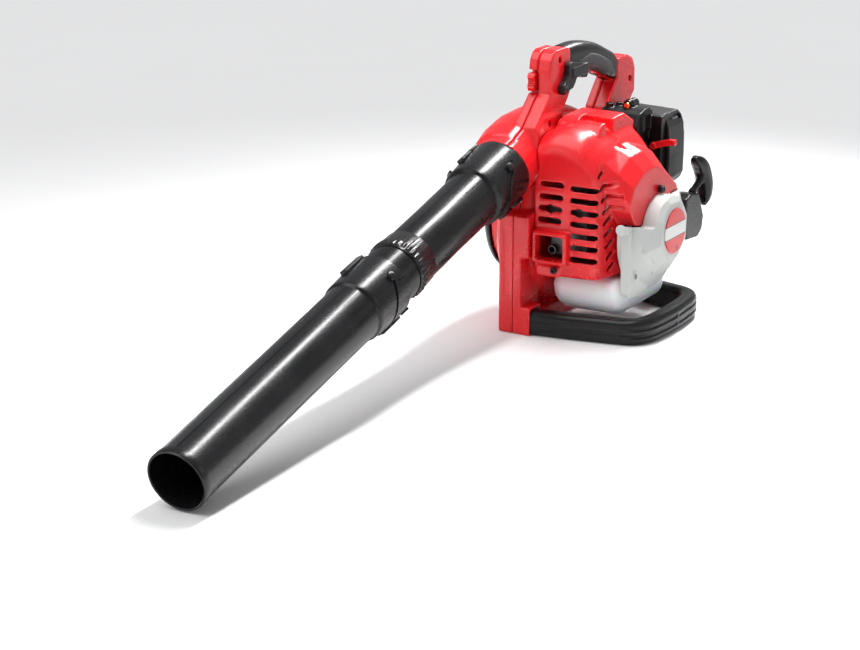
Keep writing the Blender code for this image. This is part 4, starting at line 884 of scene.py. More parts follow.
def make_middle_tube():
    low, high = COLLAR
    profile = [
        (SLIP_R - TUBE_WALL, SLIP_END), (SLIP_R - TUBE_WALL, low + 0.005),
        (BELL_BORE_R, low + 0.009), (BELL_BORE_R, high - 0.0008), (BELL_BORE_R + 0.001, high),
        (0.0408, high), (0.0416, high - 0.0010), (0.0420, high - 0.006), (0.0412, low + 0.030),
        (0.0400, low + 0.010), (0.0397, low + 0.0020), (0.0391, low + 0.0003), (0.0372, low - 0.0006),
        (MIDDLE_TUBE_R + 0.0003, low - 0.0020), (MIDDLE_TUBE_R, low - 0.0040),
        (MIDDLE_TUBE_R - 0.0001, 0.560), (MIDDLE_TUBE_R, END_BELL[1] + 0.004),
        (SLIP_R, END_BELL[1] + 0.0005), (SLIP_R, SLIP_END + 0.001), (SLIP_R - 0.001, SLIP_END),
    ]
    pipe = lathe(profile, tube_frame(), PIPE_SIDES)
    groove = [(44.0, 0.7020), (30.0, 0.6800), (10.0, 0.6640), (-12.0, 0.6560), (-30.0, 0.6540)]
    ridge = [(41.0, 0.7110), (26.0, 0.6900), (4.0, 0.6730), (-20.0, 0.6640), (-38.0, 0.6600)]
    cut(pipe, *[tube_band(around(groove, flip), 0.0402, 0.0450, 0.0015, 28) for flip in FLIPS])
    solids = [pipe]
    for flip in FLIPS:
        solids.append(tube_band(around(ridge, flip), 0.0395, 0.0433, 0.0020, 28))
        for first, last, turn in ((0.671, 0.693, 124.0), (0.700, 0.716, 130.0)):
            solids.append(tube_lug(turn + flip, 0.0422, 0.0026, first, last, 0.0012))
    solids += tube_ribs((59.0, 34.0, 9.0), 0.6085, 0.6465, MIDDLE_TUBE_R)
    solids += mould_seams(MIDDLE_TUBE_R, (0.498, 0.57, 0.6450))
    settle(join(*solids), "middle_pipe_skin", "tube", "middle_tube", "middle_pipe")


def make_locking_ring():
    low, high = SERRATED_RING
    rows = ((low, 0.0356, 0.0356), (low + 0.0004, 0.0366, 0.0366), (low + 0.0030, 0.0371, 0.0371),
            (low + 0.0034, 0.0371, 0.0384), (low + 0.0120, 0.0371, 0.0384), (low + 0.0128, 0.0370, 0.0371),
            (high - 0.0012, 0.0364, 0.0364), (high, 0.0356, 0.0356))
    body = toothed(rows, 34, (0.0, 0.0, 0.6, 1.0, 1.0, 0.6), tube_frame())
    bore_r = MIDDLE_TUBE_R + 0.0001
    bore = lathe([(bore_r, low - 0.01), (bore_r, high + 0.01)], tube_frame(), 96, False)
    settle(cut(body, bore), "locking_ring_skin", "tube", "middle_tube", "locking_ring")


def make_pins():
    for name, body, height, turn, radius in (("neck_pin", "frame", 0.690, -37.0, 0.0420),
                                             ("tube_pin", "middle_tube", 0.406, -43.0, 0.0398)):
        spin = tube_frame() @ Matrix.Rotation(math.radians(turn), 4, "Z")
        place = spin @ axis_matrix((0.0, 0.0, height), (1.0, 0.0, 0.0), (0.0, 0.0, 1.0))
        head = lathe([(0.0040, radius - 0.003), (0.0056, radius - 0.001), (0.0057, radius + 0.0020),
                      (0.0053, radius + 0.0032), (0.0044, radius + 0.0038), (0.0012, radius + 0.0040)],
                     place, 40, False)
        settle(head, name + "_skin", "black", body, name)


# ------------------------------------------------------------------------ case
def case_posts():
    """Pillars, feet and handle posts that stand on the scroll."""
    front_pillar = [(-0.115, 0.0), (-0.115, 0.153), (-0.085, 0.160), (-0.060, 0.120), (-0.070, 0.0)]
    shoulder = [(-0.115, 0.100), (-0.115, 0.1535), (-0.085, 0.160), (-0.080, 0.095)]
    rear_pillar = [(0.115, 0.0), (0.080, 0.0), (0.080, 0.100), (0.112, 0.110)]
    front_post = [
        (-0.096, 0.225), (-0.094, 0.262), (-0.056, 0.297), (-0.057, 0.325), (-0.054, 0.339), (-0.048, 0.347),
        (-0.040, 0.350), (-0.015, 0.3495), (-0.006, 0.347), (-0.003, 0.342), (-0.003, 0.290), (-0.022, 0.268),
        (-0.020, 0.225),
    ]
    rear_post = [
        (0.092, 0.200), (0.098, 0.250), (0.128, 0.283), (0.128, 0.309), (0.158, 0.309), (0.173, 0.302),
        (0.180, 0.288), (0.180, 0.257), (0.162, 0.242), (0.128, 0.212), (0.110, 0.180),
    ]
    ridge = [(-0.0960, 0.2300), (-0.0935, 0.2570), (-0.0760, 0.2720), (-0.0300, 0.2720), (-0.0200, 0.2300)]
    left = -0.0235
    return [
        prism(front_pillar, "X", left, 0.008),
        prism(shoulder, "X", left, CASE_ENGINE_X),
        prism(rear_pillar, "X", left, 0.008),
        box((-FOOT_HALF_X, -FOOT_Y, 0.0), (FOOT_HALF_X, FOOT_DEPTH - FOOT_Y, FOOT_H)),
        box((-FOOT_HALF_X, FOOT_Y - FOOT_DEPTH, 0.0), (FOOT_HALF_X, FOOT_Y, FOOT_H)),
        box((-0.015, -FOOT_Y + 0.01, 0.0), (0.015, FOOT_Y - 0.01, 0.022)),
        prism(front_post, "X", -HANDLE_HALF_X, HANDLE_HALF_X),
        prism(rear_post, "X", -HANDLE_HALF_X, HANDLE_HALF_X),
        prism(ridge, "X", -0.0190, 0.0190),
    ]


def case_cavities():
    """Everything that is cut out of the case: fan chamber, bores, pockets and screw holes."""
    bore_r = SPIGOT_R - TUBE_WALL
    panel = [(-0.118, 0.044), (-0.118, 0.140), (-0.1135, 0.136), (-0.1135, 0.048)]
    socket = rounded_section(LOOP_W / 2 + GAP, LOOP_H / 2 + GAP, 0.006, 6)
    return [
        scroll_solid(CASE_WALL, 90, 10),
        lathe([(bore_r, SPIGOT_END - 0.01), (bore_r, NECK_TOP - 0.03)], tube_frame(), 96, False),
        crank_rod(INTAKE_FACE_X - 0.01, -0.03, INTAKE_HOLE_R, 96),
        crank_rod(0.0, 0.03, SHAFT_R + 0.004, 32),
        box((SWITCH_X[0] - 0.0022, -0.0700, 0.2965), (SWITCH_X[1] + 0.0022, -0.0480, 0.3255)),
        rod((0.0080, *TRIGGER_PIVOT), (0.0300, *TRIGGER_PIVOT), 0.0030, 24),
        *[rod((0.002, y, z), (0.05, y, z), 0.0043, 32) for _, y, z in HANDLE_SCREWS],
        prism(panel, "X", -0.0175, -0.0050),
        sweep(loop_path(), socket, Vector((0, 0, 1))),
        *[box((-0.0160, -0.0720, low), (-0.0135, -0.0500, low + 0.0045)) for low in (0.2350, 0.2425)],
    ]


def make_case():
    body = scroll_solid(0.0, 150, 18)
    intake = lathe([(INTAKE_RING_R, INTAKE_FACE_X), (INTAKE_RING_R, -0.03)], along_x(), 96, False)
    spigot = lathe([(SPIGOT_R, SPIGOT_END), (SPIGOT_R, COLLAR[1] + 0.01)], tube_frame(), 96, False)
    unite(body, neck_solid(0.0), intake, *case_posts(), handle_bar(0.0), spigot)
    cut(body, *case_cavities())
    intake_half = copy_of(body)
    cut(intake_half, box((SEAM_X - 0.0002, -FAR, -FAR), (FAR, FAR, FAR)))
    cut(body, box((-FAR, -FAR, -FAR), (SEAM_X + 0.0002, FAR, FAR)))
    melt(intake_half, 0.00125, 11)
    melt(body, 0.00125, 11)
    settle(intake_half, "case_intake_skin", "red", "frame", "case_intake_half", smooth=0)
    settle(body, "case_engine_skin", "red", "frame", "case_engine_half", smooth=0)


def make_intake_guard():
    face = INTAKE_FACE_X - GAP
    outer = [(0.0808, face), (0.0808, -0.0592), (0.0798, -0.0615), (0.0765, -0.0655), (0.0700, -0.0685),
             (0.0560, -0.0720), (0.0380, -0.0742), (0.0200, -0.0755)]
    inner = [(0.0200, -0.0730), (0.0550, -0.0695), (0.0740, -0.0640), (0.0745, face)]
    dome = lathe([(0.0010, -0.0758)] + list(reversed(outer)) + list(reversed(inner)) + [(0.0010, -0.0733)],
                 along_x(), 120)
    unite(dome, crank_rod(-0.0735, -0.0765, 0.0140, 64))
    slots = []
    count = 36
    for step in range(count):
        spin = Matrix.Rotation(2 * math.pi * (step + 0.5) / count, 4, "X")
        first = 0.034 if step % 2 else 0.026
        slot = box((-0.09, -0.0021, first), (-0.0585, 0.0021, 0.0690))
        slot.data.transform(Matrix.Translation((0.0, 0.0, CRANK_Z)) @ spin)
        slots.append(slot)
    cut(dome, *slots)
    hoop = [(0.0480, -0.0695), (0.0510, -0.0690), (0.0510, -0.0722), (0.0480, -0.0727)]
    unite(dome, lathe(hoop, along_x(), 96))
    melt(dome, 0.0008, 3)
    settle(dome, "intake_guard_skin", "black", "frame", "intake_guard", smooth=0)


def make_handle_screws():
    for name, y, z in HANDLE_SCREWS:
        head = hex_head(along_x(0.0035, y, z), 0.0040, 0.0036)
        settle(head, name + "_skin", "dark_steel", "frame", name)


# ------------------------------------------------------------- covers, starter
def cover_slot(x, z, width, height):
    half = height / 2
    reach = width / 2 - half
    outline = []
    for side in (1, -1):
        for step in range(9):
            turn = math.pi * step / 8
            outline.append((x + (reach + half * math.sin(turn)) * side, z - half * math.cos(turn) * side))
    return prism(outline, "Y", -0.125, -0.08)


def fine_skin(grow):
    smooth = smooth_sections(COVER_SHAPE[:4], 20)
    return skin(smooth + list(COVER_SHAPE[4:]), grow, COVER_TOP_ROUND, COVER_LOW_ROUND, 12)


def cover_room(wall):
    """Inside of the cover, drawn back where its skin runs steeply."""
    rows = []
    for x, front, rear, bottom, top in COVER_SHAPE:
        rows.append((x - wall * max(0.0, min(1.0, (x - 0.085) / 0.012)), front, rear, bottom, top))
    return skin(rows, -wall, COVER_TOP_ROUND, COVER_LOW_ROUND, 12)


def cover_solid():
    """Outer form of the cover: skin, top pad, swelling and lower ledge."""
    pad = [(-0.070, 0.240), (-0.050, 0.2655), (-0.030, 0.2685), (0.012, 0.2690), (0.040, 0.2540),
           (0.030, 0.235)]
    ledge = [(-0.1015, 0.0772), (-0.1015, 0.0900), (-0.0950, 0.0930), (-0.0950, 0.0772)]
    cowl = loft([[Vector((x, y, z)) for y, z in outline] for x, outline in BULGE])
    return unite(fine_skin(0.0), prism(pad, "X", 0.0230, 0.0860, 0.003), cowl,
                 prism(ledge, "X", 0.0235, 0.0545))


def cover_slots():
    """Cooling slots in the front and the side, and the small round holes."""
    slots = []
    for row, z in enumerate((0.1950, 0.1790, 0.1640, 0.1490)):
        slots.append(cover_slot(0.0420 - 0.001 * row, z, 0.032, 0.0066))
    for row in range(7):
        slots.append(cover_slot(0.0850, 0.1930 - 0.0150 * row, 0.036, 0.0066))
    for x, z in ((0.0400, 0.1640), (0.0790, 0.1630)):
        slots.append(rod((x, -0.13, z), (x, -0.081, z), 0.0058, 32))
    for row in range(9):
        share = row / 8
        place = Matrix.Translation((0.0, -0.0870 + 0.0170 * share ** 0.7, 0.2130 - 0.1200 * share))
        size = 0.0075 if row else 0.0060
        slot = box((0.088 + 0.0001 * row, -0.0021, -size), (0.130, 0.0021, size), 0.0009, 2)
        slot.data.transform(place @ Matrix.Rotation(math.radians(-46.0), 4, "X"))
        slots.append(slot)
    for x, y, z in ((0.1000, 0.0294, 0.2369), (0.1126, 0.0300, 0.2268)):
        slots.append(rod((x - 0.01, y, z - 0.008), (x + 0.012, y, z + 0.012), 0.0019, 20))
    return slots


def make_engine_cover():
    cover = cut(cover_solid(), *cover_slots())
    unite(cover, box((0.0215, -0.1120, 0.0960), (0.0690, -0.0962, 0.1370), 0.003, 3))
    cut(cover, box((0.0262, -0.13, 0.1008), (0.0643, -0.088, 0.1322), 0.002, 2))
    scoop = [(0.0440, -0.0180), (0.0485, -0.0415), (0.0600, -0.0430), (0.0850, -0.0405), (0.1030, -0.0345),
             (0.1075, -0.0300), (0.1040, -0.0255), (0.0850, -0.0205), (0.0600, -0.0180)]
    block = prism(grown_outline(scoop, 0.0030), "Z", 0.2000, 0.3000)
    room = cut(cover_room(0.0030), block)
    scooped = cut(prism(scoop, "Z", 0.2100, 0.3000), fine_skin(-0.0042))
    rear = box((0.010, 0.036, 0.1100), (0.1150, 0.090, 0.2300))
    cut(cover, scooped, rear, crank_rod(0.105, 0.1363, 0.0450, 64), neck_solid(0.0006))
    melt(cover, 0.0012, 1)
    cut(cover, room)
    melt(cover, 0.00105, 3)
    settle(cover, "engine_cover_skin", "red", "frame", "engine_cover", smooth=0)


def make_cover_screws():
    head = hex_head(along_x(COWL_X[1] - 0.0005, 0.0040, 0.1800), 0.0047, 0.0075)
    settle(head, "cover_screw_upper_skin", "black", "frame", "cover_screw_upper")
    place = axis_matrix((0.0485, -0.1005, 0.0870), (0.0, -1.0, 0.0))
    settle(hex_head(place, 0.0042, 0.0056), "cover_screw_lower_skin", "black", "frame", "cover_screw_lower")


def starter_solid():
    """Outer form of the starter: bowl, hub, leg, rib, screw boss and its seat."""
    bowl = [(STARTER_R - 0.0010, 0.1222), (STARTER_R, 0.1232), (STARTER_R, 0.1300), (0.0770, 0.1335),
            (0.0745, 0.1380), (0.0560, 0.1480), (0.0500, 0.1530)]
    hub = lathe([(0.0600, 0.1400), (0.0590, 0.1490), (0.0385, 0.1632), (0.0330, 0.1642)],
                along_x() @ Matrix.Rotation(math.radians(18.0), 4, "Z"), 8, False)
    leg = prism([(-0.080, 0.150), (-0.080, 0.064), (-0.075, 0.057), (-0.034, 0.050), (-0.027, 0.054),
                 (0.000, 0.078), (0.000, 0.150)], "X", LEG_X, LEG_X + 0.0095)
    rib = prism([(-0.0797, 0.1480), (-0.0797, 0.0680), (-0.0745, 0.0650), (-0.0745, 0.1480)],
                "X", LEG_X + 0.002, LEG_X + 0.0120)
    boss = rod((0.1335, -0.090, 0.147), (0.1335, -0.045, 0.147), 0.0072, 48)
    seat = lathe([(0.0075, LEG_X + 0.0090), (0.0062, LEG_X + 0.0112)], along_x(0.0, -0.058, 0.082), 40, False)
    return unite(lathe(bowl, along_x(), 96, False), hub, leg, rib, boss, seat)


def starter_hollow():
    """Room for the pulley and its spring, with a floor and a roof left standing."""
    inner = [(0.0750, 0.1222), (0.0750, 0.1300), (0.0715, 0.1365), (0.0535, 0.1455), (0.0475, 0.1505),
             (0.0340, 0.1610)]
    hollow = unite(lathe(inner, along_x(), 64, False), crank_rod(0.10, 0.1225, 0.0750, 64))
    roof = prism(grown_outline(COWL_OUTLINE, STARTER_WALL), "X", COWL_X[1] - 0.0010, 0.22)
    cut(roof, crank_rod(0.1, 0.25, HUB_R - STARTER_WALL, 64))
    floor = box((0.0, -FAR, -FAR), (FAR, FAR, STARTER_BOTTOM_Z + STARTER_WALL))
    return cut(hollow, floor, roof)


def make_starter():
    housing = cut(starter_solid(), box((0.10, -FAR, -FAR), (LEG_X, FAR, STARTER_BOTTOM_Z)), starter_hollow())
    room = prism(grown_outline(COWL_OUTLINE, 0.0007), "X", 0.1005, 0.20)
    cut(room, crank_rod(COWL_X[1] + GAP, 0.25, HUB_R, 64))
    leg_screw = rod((0.12, -0.058, 0.082), (0.16, -0.058, 0.082), 0.0036, 32)
    behind = [(0.001, 0.230), (0.001, 0.2040), (0.0575, 0.1683), (0.120, 0.1683), (0.120, 0.230)]
    badge_seat = crank_rod(0.1636, 0.18, 0.0292, 96)
    tools = (rope_hole(0.0045), leg_screw, room, prism(behind, "X", 0.09, 0.21), badge_seat)
    boolean(housing, tools, "DIFFERENCE", True)
    vents = []
    for step in range(7):
        turn = math.radians(196.0 + 11.0 * step)
        vent = box((0.118, -0.0016, 0.058), (0.17, 0.0016, 0.070), 0.0008, 2)
        vent.data.transform(Matrix.Translation((0.0, 0.0, CRANK_Z)) @ Matrix.Rotation(turn, 4, "X"))
        vents.append(vent)
    cut(housing, *vents)
    melt(housing, 0.0009, 3)
    settle(housing, "starter_housing_skin", "grey", "frame", "starter_housing", smooth=0)


def make_badge():
    disc = lathe([(0.0282, 0.1632), (0.0286, 0.1640), (0.0286, 0.1652), (0.0282, 0.1657), (0.0200, 0.1659),
                  (0.0010, 0.1660)], along_x(), 96, False)
    settle(disc, "badge_disc_skin", "badge", "frame", "badge_disc")


def make_starter_rope():
    start, stop = rope_point(ROPE_START), rope_point(ROPE_STOP)
    rope = lathe([(ROPE_R, (stop - start).length * i / 60 * 1.02) for i in range(61)],
                 axis_matrix(start, stop - start), 16, False)
    settle(rope, "starter_rope_skin", "rope", None, "starter_rope")
    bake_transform(rope)


def make_starter_grip():
    pull = axis_matrix(rope_point(0.0), rope_point(1.0) - rope_point(0.0))
    neck = lathe([(0.0040, GRIP_NECK), (0.0052, GRIP_NECK + 0.001), (0.0052, GRIP_NECK + 0.006),
                  (0.0044, GRIP_NECK + 0.008), (0.0046, GRIP_BAR - 0.012), (0.0060, GRIP_BAR - 0.006),
                  (0.0085, GRIP_BAR)], pull, 32, False)
    rings = []
    count = 36
    for step in range(count + 1):
        share = 2 * step / count - 1
        across = 0.0390 * share
        lift = -0.0120 * share * share
        fade = max(0.10, 1 - share ** 4) ** 0.5
        flute = 1.0 - 0.05 * (0.5 + 0.5 * math.cos(share * math.pi * 7)) * (1 - share * share)
        section = rounded_section(0.0108 * fade, 0.0098 * fade * flute, 0.0098 * fade * flute * 0.8, 6)
        rings.append([pull @ Vector((a, across, GRIP_BAR + 0.004 + lift + b)) for a, b in section])
    unite(neck, loft(rings))
    melt(neck, 0.0007, 4)
    settle(neck, "starter_grip_skin", "black", "pull_handle", "starter_grip", smooth=0)


def make_rope_guide():
    guide = prism([(0.0800, 0.1020), (0.0850, 0.0930), (0.1180, 0.0900), (0.1300, 0.0980), (0.1340, 0.1150),
                   (0.1180, 0.1480), (0.0950, 0.1520), (0.0800, 0.1480)], "X", 0.1180, 0.1420)
    side = rope_point(0.10) - rope_point(0.0)
    collar = lathe([(0.0098, 0.090), (0.0098, 0.1040), (0.0085, 0.1065), (0.0050, 0.1075)],
                   axis_matrix(rope_point(0.0), side), 48, False)
    unite(guide, collar)
    cut(guide, rope_hole(0.0032))
    melt(guide, 0.0009, 14)
    settle(guide, "rope_guide_skin", "black", "frame", "rope_guide", smooth=0)


# ------------------------------------------------------------ tank and intake
def make_tank():
    lo, hi = Vector((0.0270, -0.0750, 0.0275)), Vector((0.1290, 0.0580, 0.0755))
    tank = box(lo, hi, 0.0180, 8)
    for vert in tank.data.vertices:
        drop = max(0.0, 0.052 - vert.co.z) / 0.022
        vert.co.y += (0.0030 * drop) * (1 if vert.co.y < 0 else -1)
        vert.co.x += (0.0060 * drop) * (1 if vert.co.x < 0.07 else 0)
    neck = lathe([(0.0170, 0.0500), (0.0170, 0.0620)], along_y(*CAP_CENTRE), 64, False)
    unite(tank, neck)
    melt(tank, 0.0012, 6)
    settle(tank, "fuel_tank_skin", "tank", "frame", "fuel_tank", smooth=0)


def make_fuel_cap():
    rows = ((0.0625, 0.0176, 0.0176), (0.0632, 0.0183, 0.0175), (0.0735, 0.0182, 0.0173),
            (0.0755, 0.0174, 0.0170), (0.0766, 0.0155, 0.0155), (0.0760, 0.0120, 0.0120),
            (0.0762, 0.0040, 0.0040))
    cap = toothed(rows, 30, (0.0, 0.1, 0.9, 1.0, 0.9, 0.1), along_y(*CAP_CENTRE))
    bar = box((0.0700, 0.0745, 0.0522), (0.0980, 0.0785, 0.0558), 0.0012, 3)
    settle(join(cap, bar), "fuel_cap_skin", "black", "tank_cap", "fuel_cap")


def make_primer_bulb():
    rows = [(0.0110, 0.0810), (0.0112, 0.0825), (0.0106, 0.0850), (0.0105, 0.0870), (0.0098, 0.0890),
            (0.0080, 0.0908), (0.0055, 0.0920), (0.0028, 0.0926)]
    bulb = lathe(rows, along_y(0.0540, 0.1320), 64, False)
    settle(bulb, "primer_bulb_skin", "tank", "primer", "primer_bulb")


def make_cleaner_base():
    base = box((0.0215, 0.0880, 0.1500), (0.1000, 0.1000, 0.2500))
    hood = prism([(0.0560, 0.2200), (0.0540, 0.2400), (0.0620, 0.2560), (0.0760, 0.2600), (0.0900, 0.2605),
                  (0.0960, 0.2500), (0.0960, 0.2200)], "X", 0.0255, 0.0820)
    boss = lathe([(0.0068, 0.0755), (0.0068, 0.0960), (0.0058, 0.0985)], along_y(*CLEANER_SCREW), 48, False)
    collar = lathe([(0.0078, 0.0790), (0.0078, 0.0840)], along_y(*CLEANER_SCREW), 48, False)
    bumps = [rod((0.0330, 0.0720, 0.2500), (0.0330, 0.0720, 0.2640), 0.0050, 32),
             rod((0.0430, 0.0800, 0.2500), (0.0430, 0.0800, 0.2645), 0.0042, 32)]
    step = box((0.0660, 0.0700, 0.2300), (0.0840, 0.0980, 0.2570), 0.004, 3)
    unite(base, hood, boss, collar, *bumps, step)
    cut(base, rod((ENGINE_X, 0.08, 0.1860), (ENGINE_X, 0.11, 0.1860), 0.0090, 48),
        rod((0.0570, 0.07, 0.2620), (0.0570, 0.0860, 0.2620), 0.0045, 32))
    melt(base, 0.0009, 4)
    settle(base, "air_cleaner_base_skin", "black", "frame", "air_cleaner_base", smooth=0)


def make_cleaner_cover():
    outline = [(0.0215, 0.1500), (0.0940, 0.1500), (0.1005, 0.1560), (0.1040, 0.1640), (0.1050, 0.1900),
               (0.1045, 0.2150), (0.1030, 0.2320), (0.0990, 0.2430), (0.0930, 0.2485), (0.0300, 0.2500),
               (0.0240, 0.2480), (0.0215, 0.2420)]
    cover = prism(outline, "Y", 0.1003, 0.1520)
    for vert in cover.data.vertices:
        if vert.co.y > 0.14:
            vert.co.x = 0.063 + (vert.co.x - 0.063) * 0.95
            vert.co.z = 0.199 + (vert.co.z - 0.199) * 0.96
    bead = prism(grown_outline(outline, 0.0012), "Y", 0.1003, 0.1040)
    panel = prism([(0.0330, 0.1640), (0.0900, 0.1640), (0.0935, 0.1900), (0.0915, 0.2280), (0.0860, 0.2370),
                   (0.0340, 0.2380)], "Y", 0.1500, 0.1536)
    unite(cover, bead, panel)
    cut(cover, box((0.0250, 0.0950, 0.1550), (0.0990, 0.1485, 0.2430), 0.002, 1))
    ribs = []
    for number in range(6):
        x = 0.0420 + 0.0085 * number
        ribs.append(box((x, 0.1520, 0.1750), (x + 0.0028, 0.1560, 0.2260)))
    cut(cover, *ribs)
    melt(cover, 0.0010, 4)
    settle(cover, "air_cleaner_cover_skin", "satin", "frame", "air_cleaner_cover", smooth=0)


def make_cleaner_screw():
    screw = lathe([(0.0042, 0.0855), (0.0042, 0.0740), (0.0036, 0.0728), (0.0010, 0.0725)],
                  along_y(*CLEANER_SCREW), 40, False)
    cut(screw, box((0.05, 0.0700, 0.2613), (0.065, 0.0742, 0.2627)))
    settle(screw, "cleaner_screw_skin", "brass", "cleaner_knob", "cleaner_screw")


def make_choke_lever():
    pivot = rod((0.0920, 0.0790, 0.2120), (0.0920, 0.0875, 0.2120), 0.0045, 32)
    arm = prism([(0.0880, 0.2090), (0.0930, 0.2080), (0.1060, 0.2130), (0.1180, 0.2160), (0.1235, 0.2165),
                 (0.1240, 0.2205), (0.1225, 0.2242), (0.1160, 0.2242), (0.1040, 0.2205), (0.0900, 0.2165)],
                "Y", 0.0800, 0.0840)
    tip = box((0.1150, 0.0790, 0.2168), (0.1235, 0.0850, 0.2238), 0.0012, 2)
    melt(unite(pivot, arm, tip), 0.0006, 4)
    settle(pivot, "choke_lever_skin", "red", "choke", "choke_lever", smooth=0)


# ------------------------------------------------------------- base and handle
def loop_depth(across, level, place):
    """How far the loop's outer skin is sunk: a long panel in front and flutes in the bow."""
    if across < LOOP_W * 0.36:
        return 0.0
    sunk = 0.0
    if 0.026 < place.x < 0.128 and place.y < 0:
        for centre in (0.0052, -0.0052):
            sunk = max(sunk, 0.0013 * max(0.0, 1 - abs((level - centre) / 0.0034) ** 4))
    if place.x > 0.134 and abs(place.y) > 0.0035:
        for centre in (0.0048, -0.0048):
            sunk = max(sunk, 0.0020 * max(0.0, 1 - abs((level - centre) / 0.0022) ** 4))
    return sunk


def loop_section():
    """The loop's rounded section, with points close enough to carry its flutes."""
    corners = rounded_section(LOOP_W / 2, LOOP_H / 2, 0.0080, 8)
    section = []
    for here, there in zip(corners, corners[1:] + corners[:1]):
        parts = max(1, int(math.dist(here, there) / 0.0007))
        for part in range(parts):
            share = part / parts
            section.append((here[0] + (there[0] - here[0]) * share, here[1] + (there[1] - here[1]) * share))
    return section


def make_base_loop():
    path = smooth_path(loop_path(), 14)
    section = loop_section()
    up = Vector((0, 0, 1))
    last = len(path) - 1
    rings = []
    for i, here in enumerate(path):
        before = (here - path[i - 1]).normalized() if i > 0 else (path[1] - here).normalized()
        after = (path[i + 1] - here).normalized() if i < last else before
        side = (before + after).normalized().cross(up).normalized()
        rings.append([here + side * (a - loop_depth(a, b, here)) + up * b for a, b in section])
    settle(loft(rings), "base_loop_skin", "black", "frame", "base_loop", smooth=0)


def grip_path():
    return curve_through([(0.0, y, z) for y, z in GRIP_LINE], 60)


def grip_swell(share):
    return 1.0 + GRIP_SWELL * math.sin(math.pi * share)


def make_grip():
    path = grip_path()
    last = len(path) - 1
    rings = []
    for i, here in enumerate(path):
        run = (path[min(i + 1, last)] - path[max(i - 1, 0)]).normalized()
        side = run.cross(Vector((0, 0, 1))).normalized()
        rise = side.cross(run)
        swell = grip_swell(i / last)
        section = rounded_section(GRIP_HALF_W * swell * GRIP_FIT, GRIP_HALF_H * swell * GRIP_FIT,
                                  GRIP_CORNER, 10)
        rings.append([here + side * a + rise * b for a, b in section])
    sleeve = loft(rings)
    keep = box((-0.05, -0.003 + GAP, 0.2), (0.05, 0.128 - GAP, 0.4))
    boolean(sleeve, [keep], "INTERSECT")
    cut(sleeve, handle_bar(0.0004))
    grooves = []
    for number in range(5):
        here = min(path, key=lambda p: abs(p.y - (0.018 + 0.021 * number)))
        level = here.z - GRIP_HALF_H - 0.0035
        grooves.append(rod((-0.03, here.y, level), (0.03, here.y, level), 0.0052, 32))
    cut(sleeve, *grooves)
    melt(sleeve, 0.0008, 4)
    settle(sleeve, "handle_grip_skin", "black", "frame", "handle_grip", smooth=0)


def patch_ring(here, rise, side, share):
    """Section of a soft patch: a thin strip that follows the rounded side of the grip."""
    tall = 0.0100 * min(1.0, (0.18 + 2.4 * share)) * min(1.0, 0.35 + (1 - share) * 5.0)
    low = -0.0135
    high = low + 0.0035 + tall * 1.45
    wall = GRIP_HALF_W * grip_swell(share) * GRIP_FIT
    outer, inner = [], []
    for k in range(13):
        level = low + (high - low) * k / 12
        proud = 0.0006 * min(1.0, min(k, 12 - k) / 2.0)
        corner = max(0.0, abs(level) - (GRIP_HALF_H * grip_swell(share) - GRIP_CORNER))
        pull = GRIP_CORNER - math.sqrt(max(0.0, GRIP_CORNER ** 2 - corner ** 2))
        outer.append(here + side * (wall - pull + proud) + rise * level)
        inner.append(here + side * (wall - pull - 0.0010) + rise * level)
    return outer + inner[::-1]


def make_grip_patches():
    path = grip_path()
    steps = 40
    for sign, name in ((1, "grip_patch_engine_side"), (-1, "grip_patch_intake_side")):
        rings = []
        for i in range(steps + 1):
            share = i / steps
            here = curve_at(path, 0.0135 + 0.108 * share)
            run = (curve_at(path, 0.0135 + 0.108 * share + 0.002) - here).normalized()
            rise = Vector((1, 0, 0)).cross(run)
            rings.append(patch_ring(here, rise, Vector((sign, 0, 0)), share))
        settle(loft(rings), name, "patch", "frame", smooth=0)


def make_trigger():
    outline = [(-0.038, 0.2990), (-0.0375, 0.2960), (-0.034, 0.2930), (-0.030, 0.2920), (-0.026, 0.2930),
               (-0.018, 0.2965), (-0.010, 0.2975), (-0.004, 0.3030), (0.000, 0.3090), (0.0060, 0.3110),
               (0.018, 0.3060), (0.0270, 0.3045), (0.0300, 0.3080), (0.031, 0.3200), (0.028, 0.3225),
               (0.020, 0.3240), (-0.012, 0.3310), (-0.018, 0.3305), (-0.021, 0.3280), (-0.022, 0.3160),
               (-0.028, 0.3090), (-0.036, 0.3050)]
    trigger = prism(outline, "X", HANDLE_HALF_X + GAP, 0.0235)
    pad = box((-0.0120, 0.0180, 0.3050), (0.0220, 0.0280, 0.3105), 0.0015, 2)
    flag = box((0.0165, -0.0150, 0.3095), (0.0258, 0.0290, 0.3240), 0.0030, 3)
    boss = [(0.0068, 0.0160), (0.0068, 0.0238), (0.0060, 0.0244)]
    unite(trigger, pad, flag, lathe(boss, along_x(0.0, *TRIGGER_PIVOT), 40, False))
    cut(trigger, rod((0.0100, *TRIGGER_PIVOT), (0.0300, *TRIGGER_PIVOT), 0.0030, 32))
    melt(trigger, 0.0007, 4)
    settle(trigger, "throttle_trigger_skin", "satin", "trigger", "throttle_trigger", smooth=0)


def make_trigger_pin():
    pin = lathe([(0.0026, 0.0085), (0.0026, 0.0238), (0.0044, 0.0240), (0.0045, 0.0252), (0.0038, 0.0258)],
                along_x(0.0, *TRIGGER_PIVOT), 40, False)
    cut(pin, rod((0.0248, *TRIGGER_PIVOT), (0.03, *TRIGGER_PIVOT), 0.0019, 6))
    settle(pin, "trigger_pin_skin", "dark_steel", "frame", "trigger_pin")


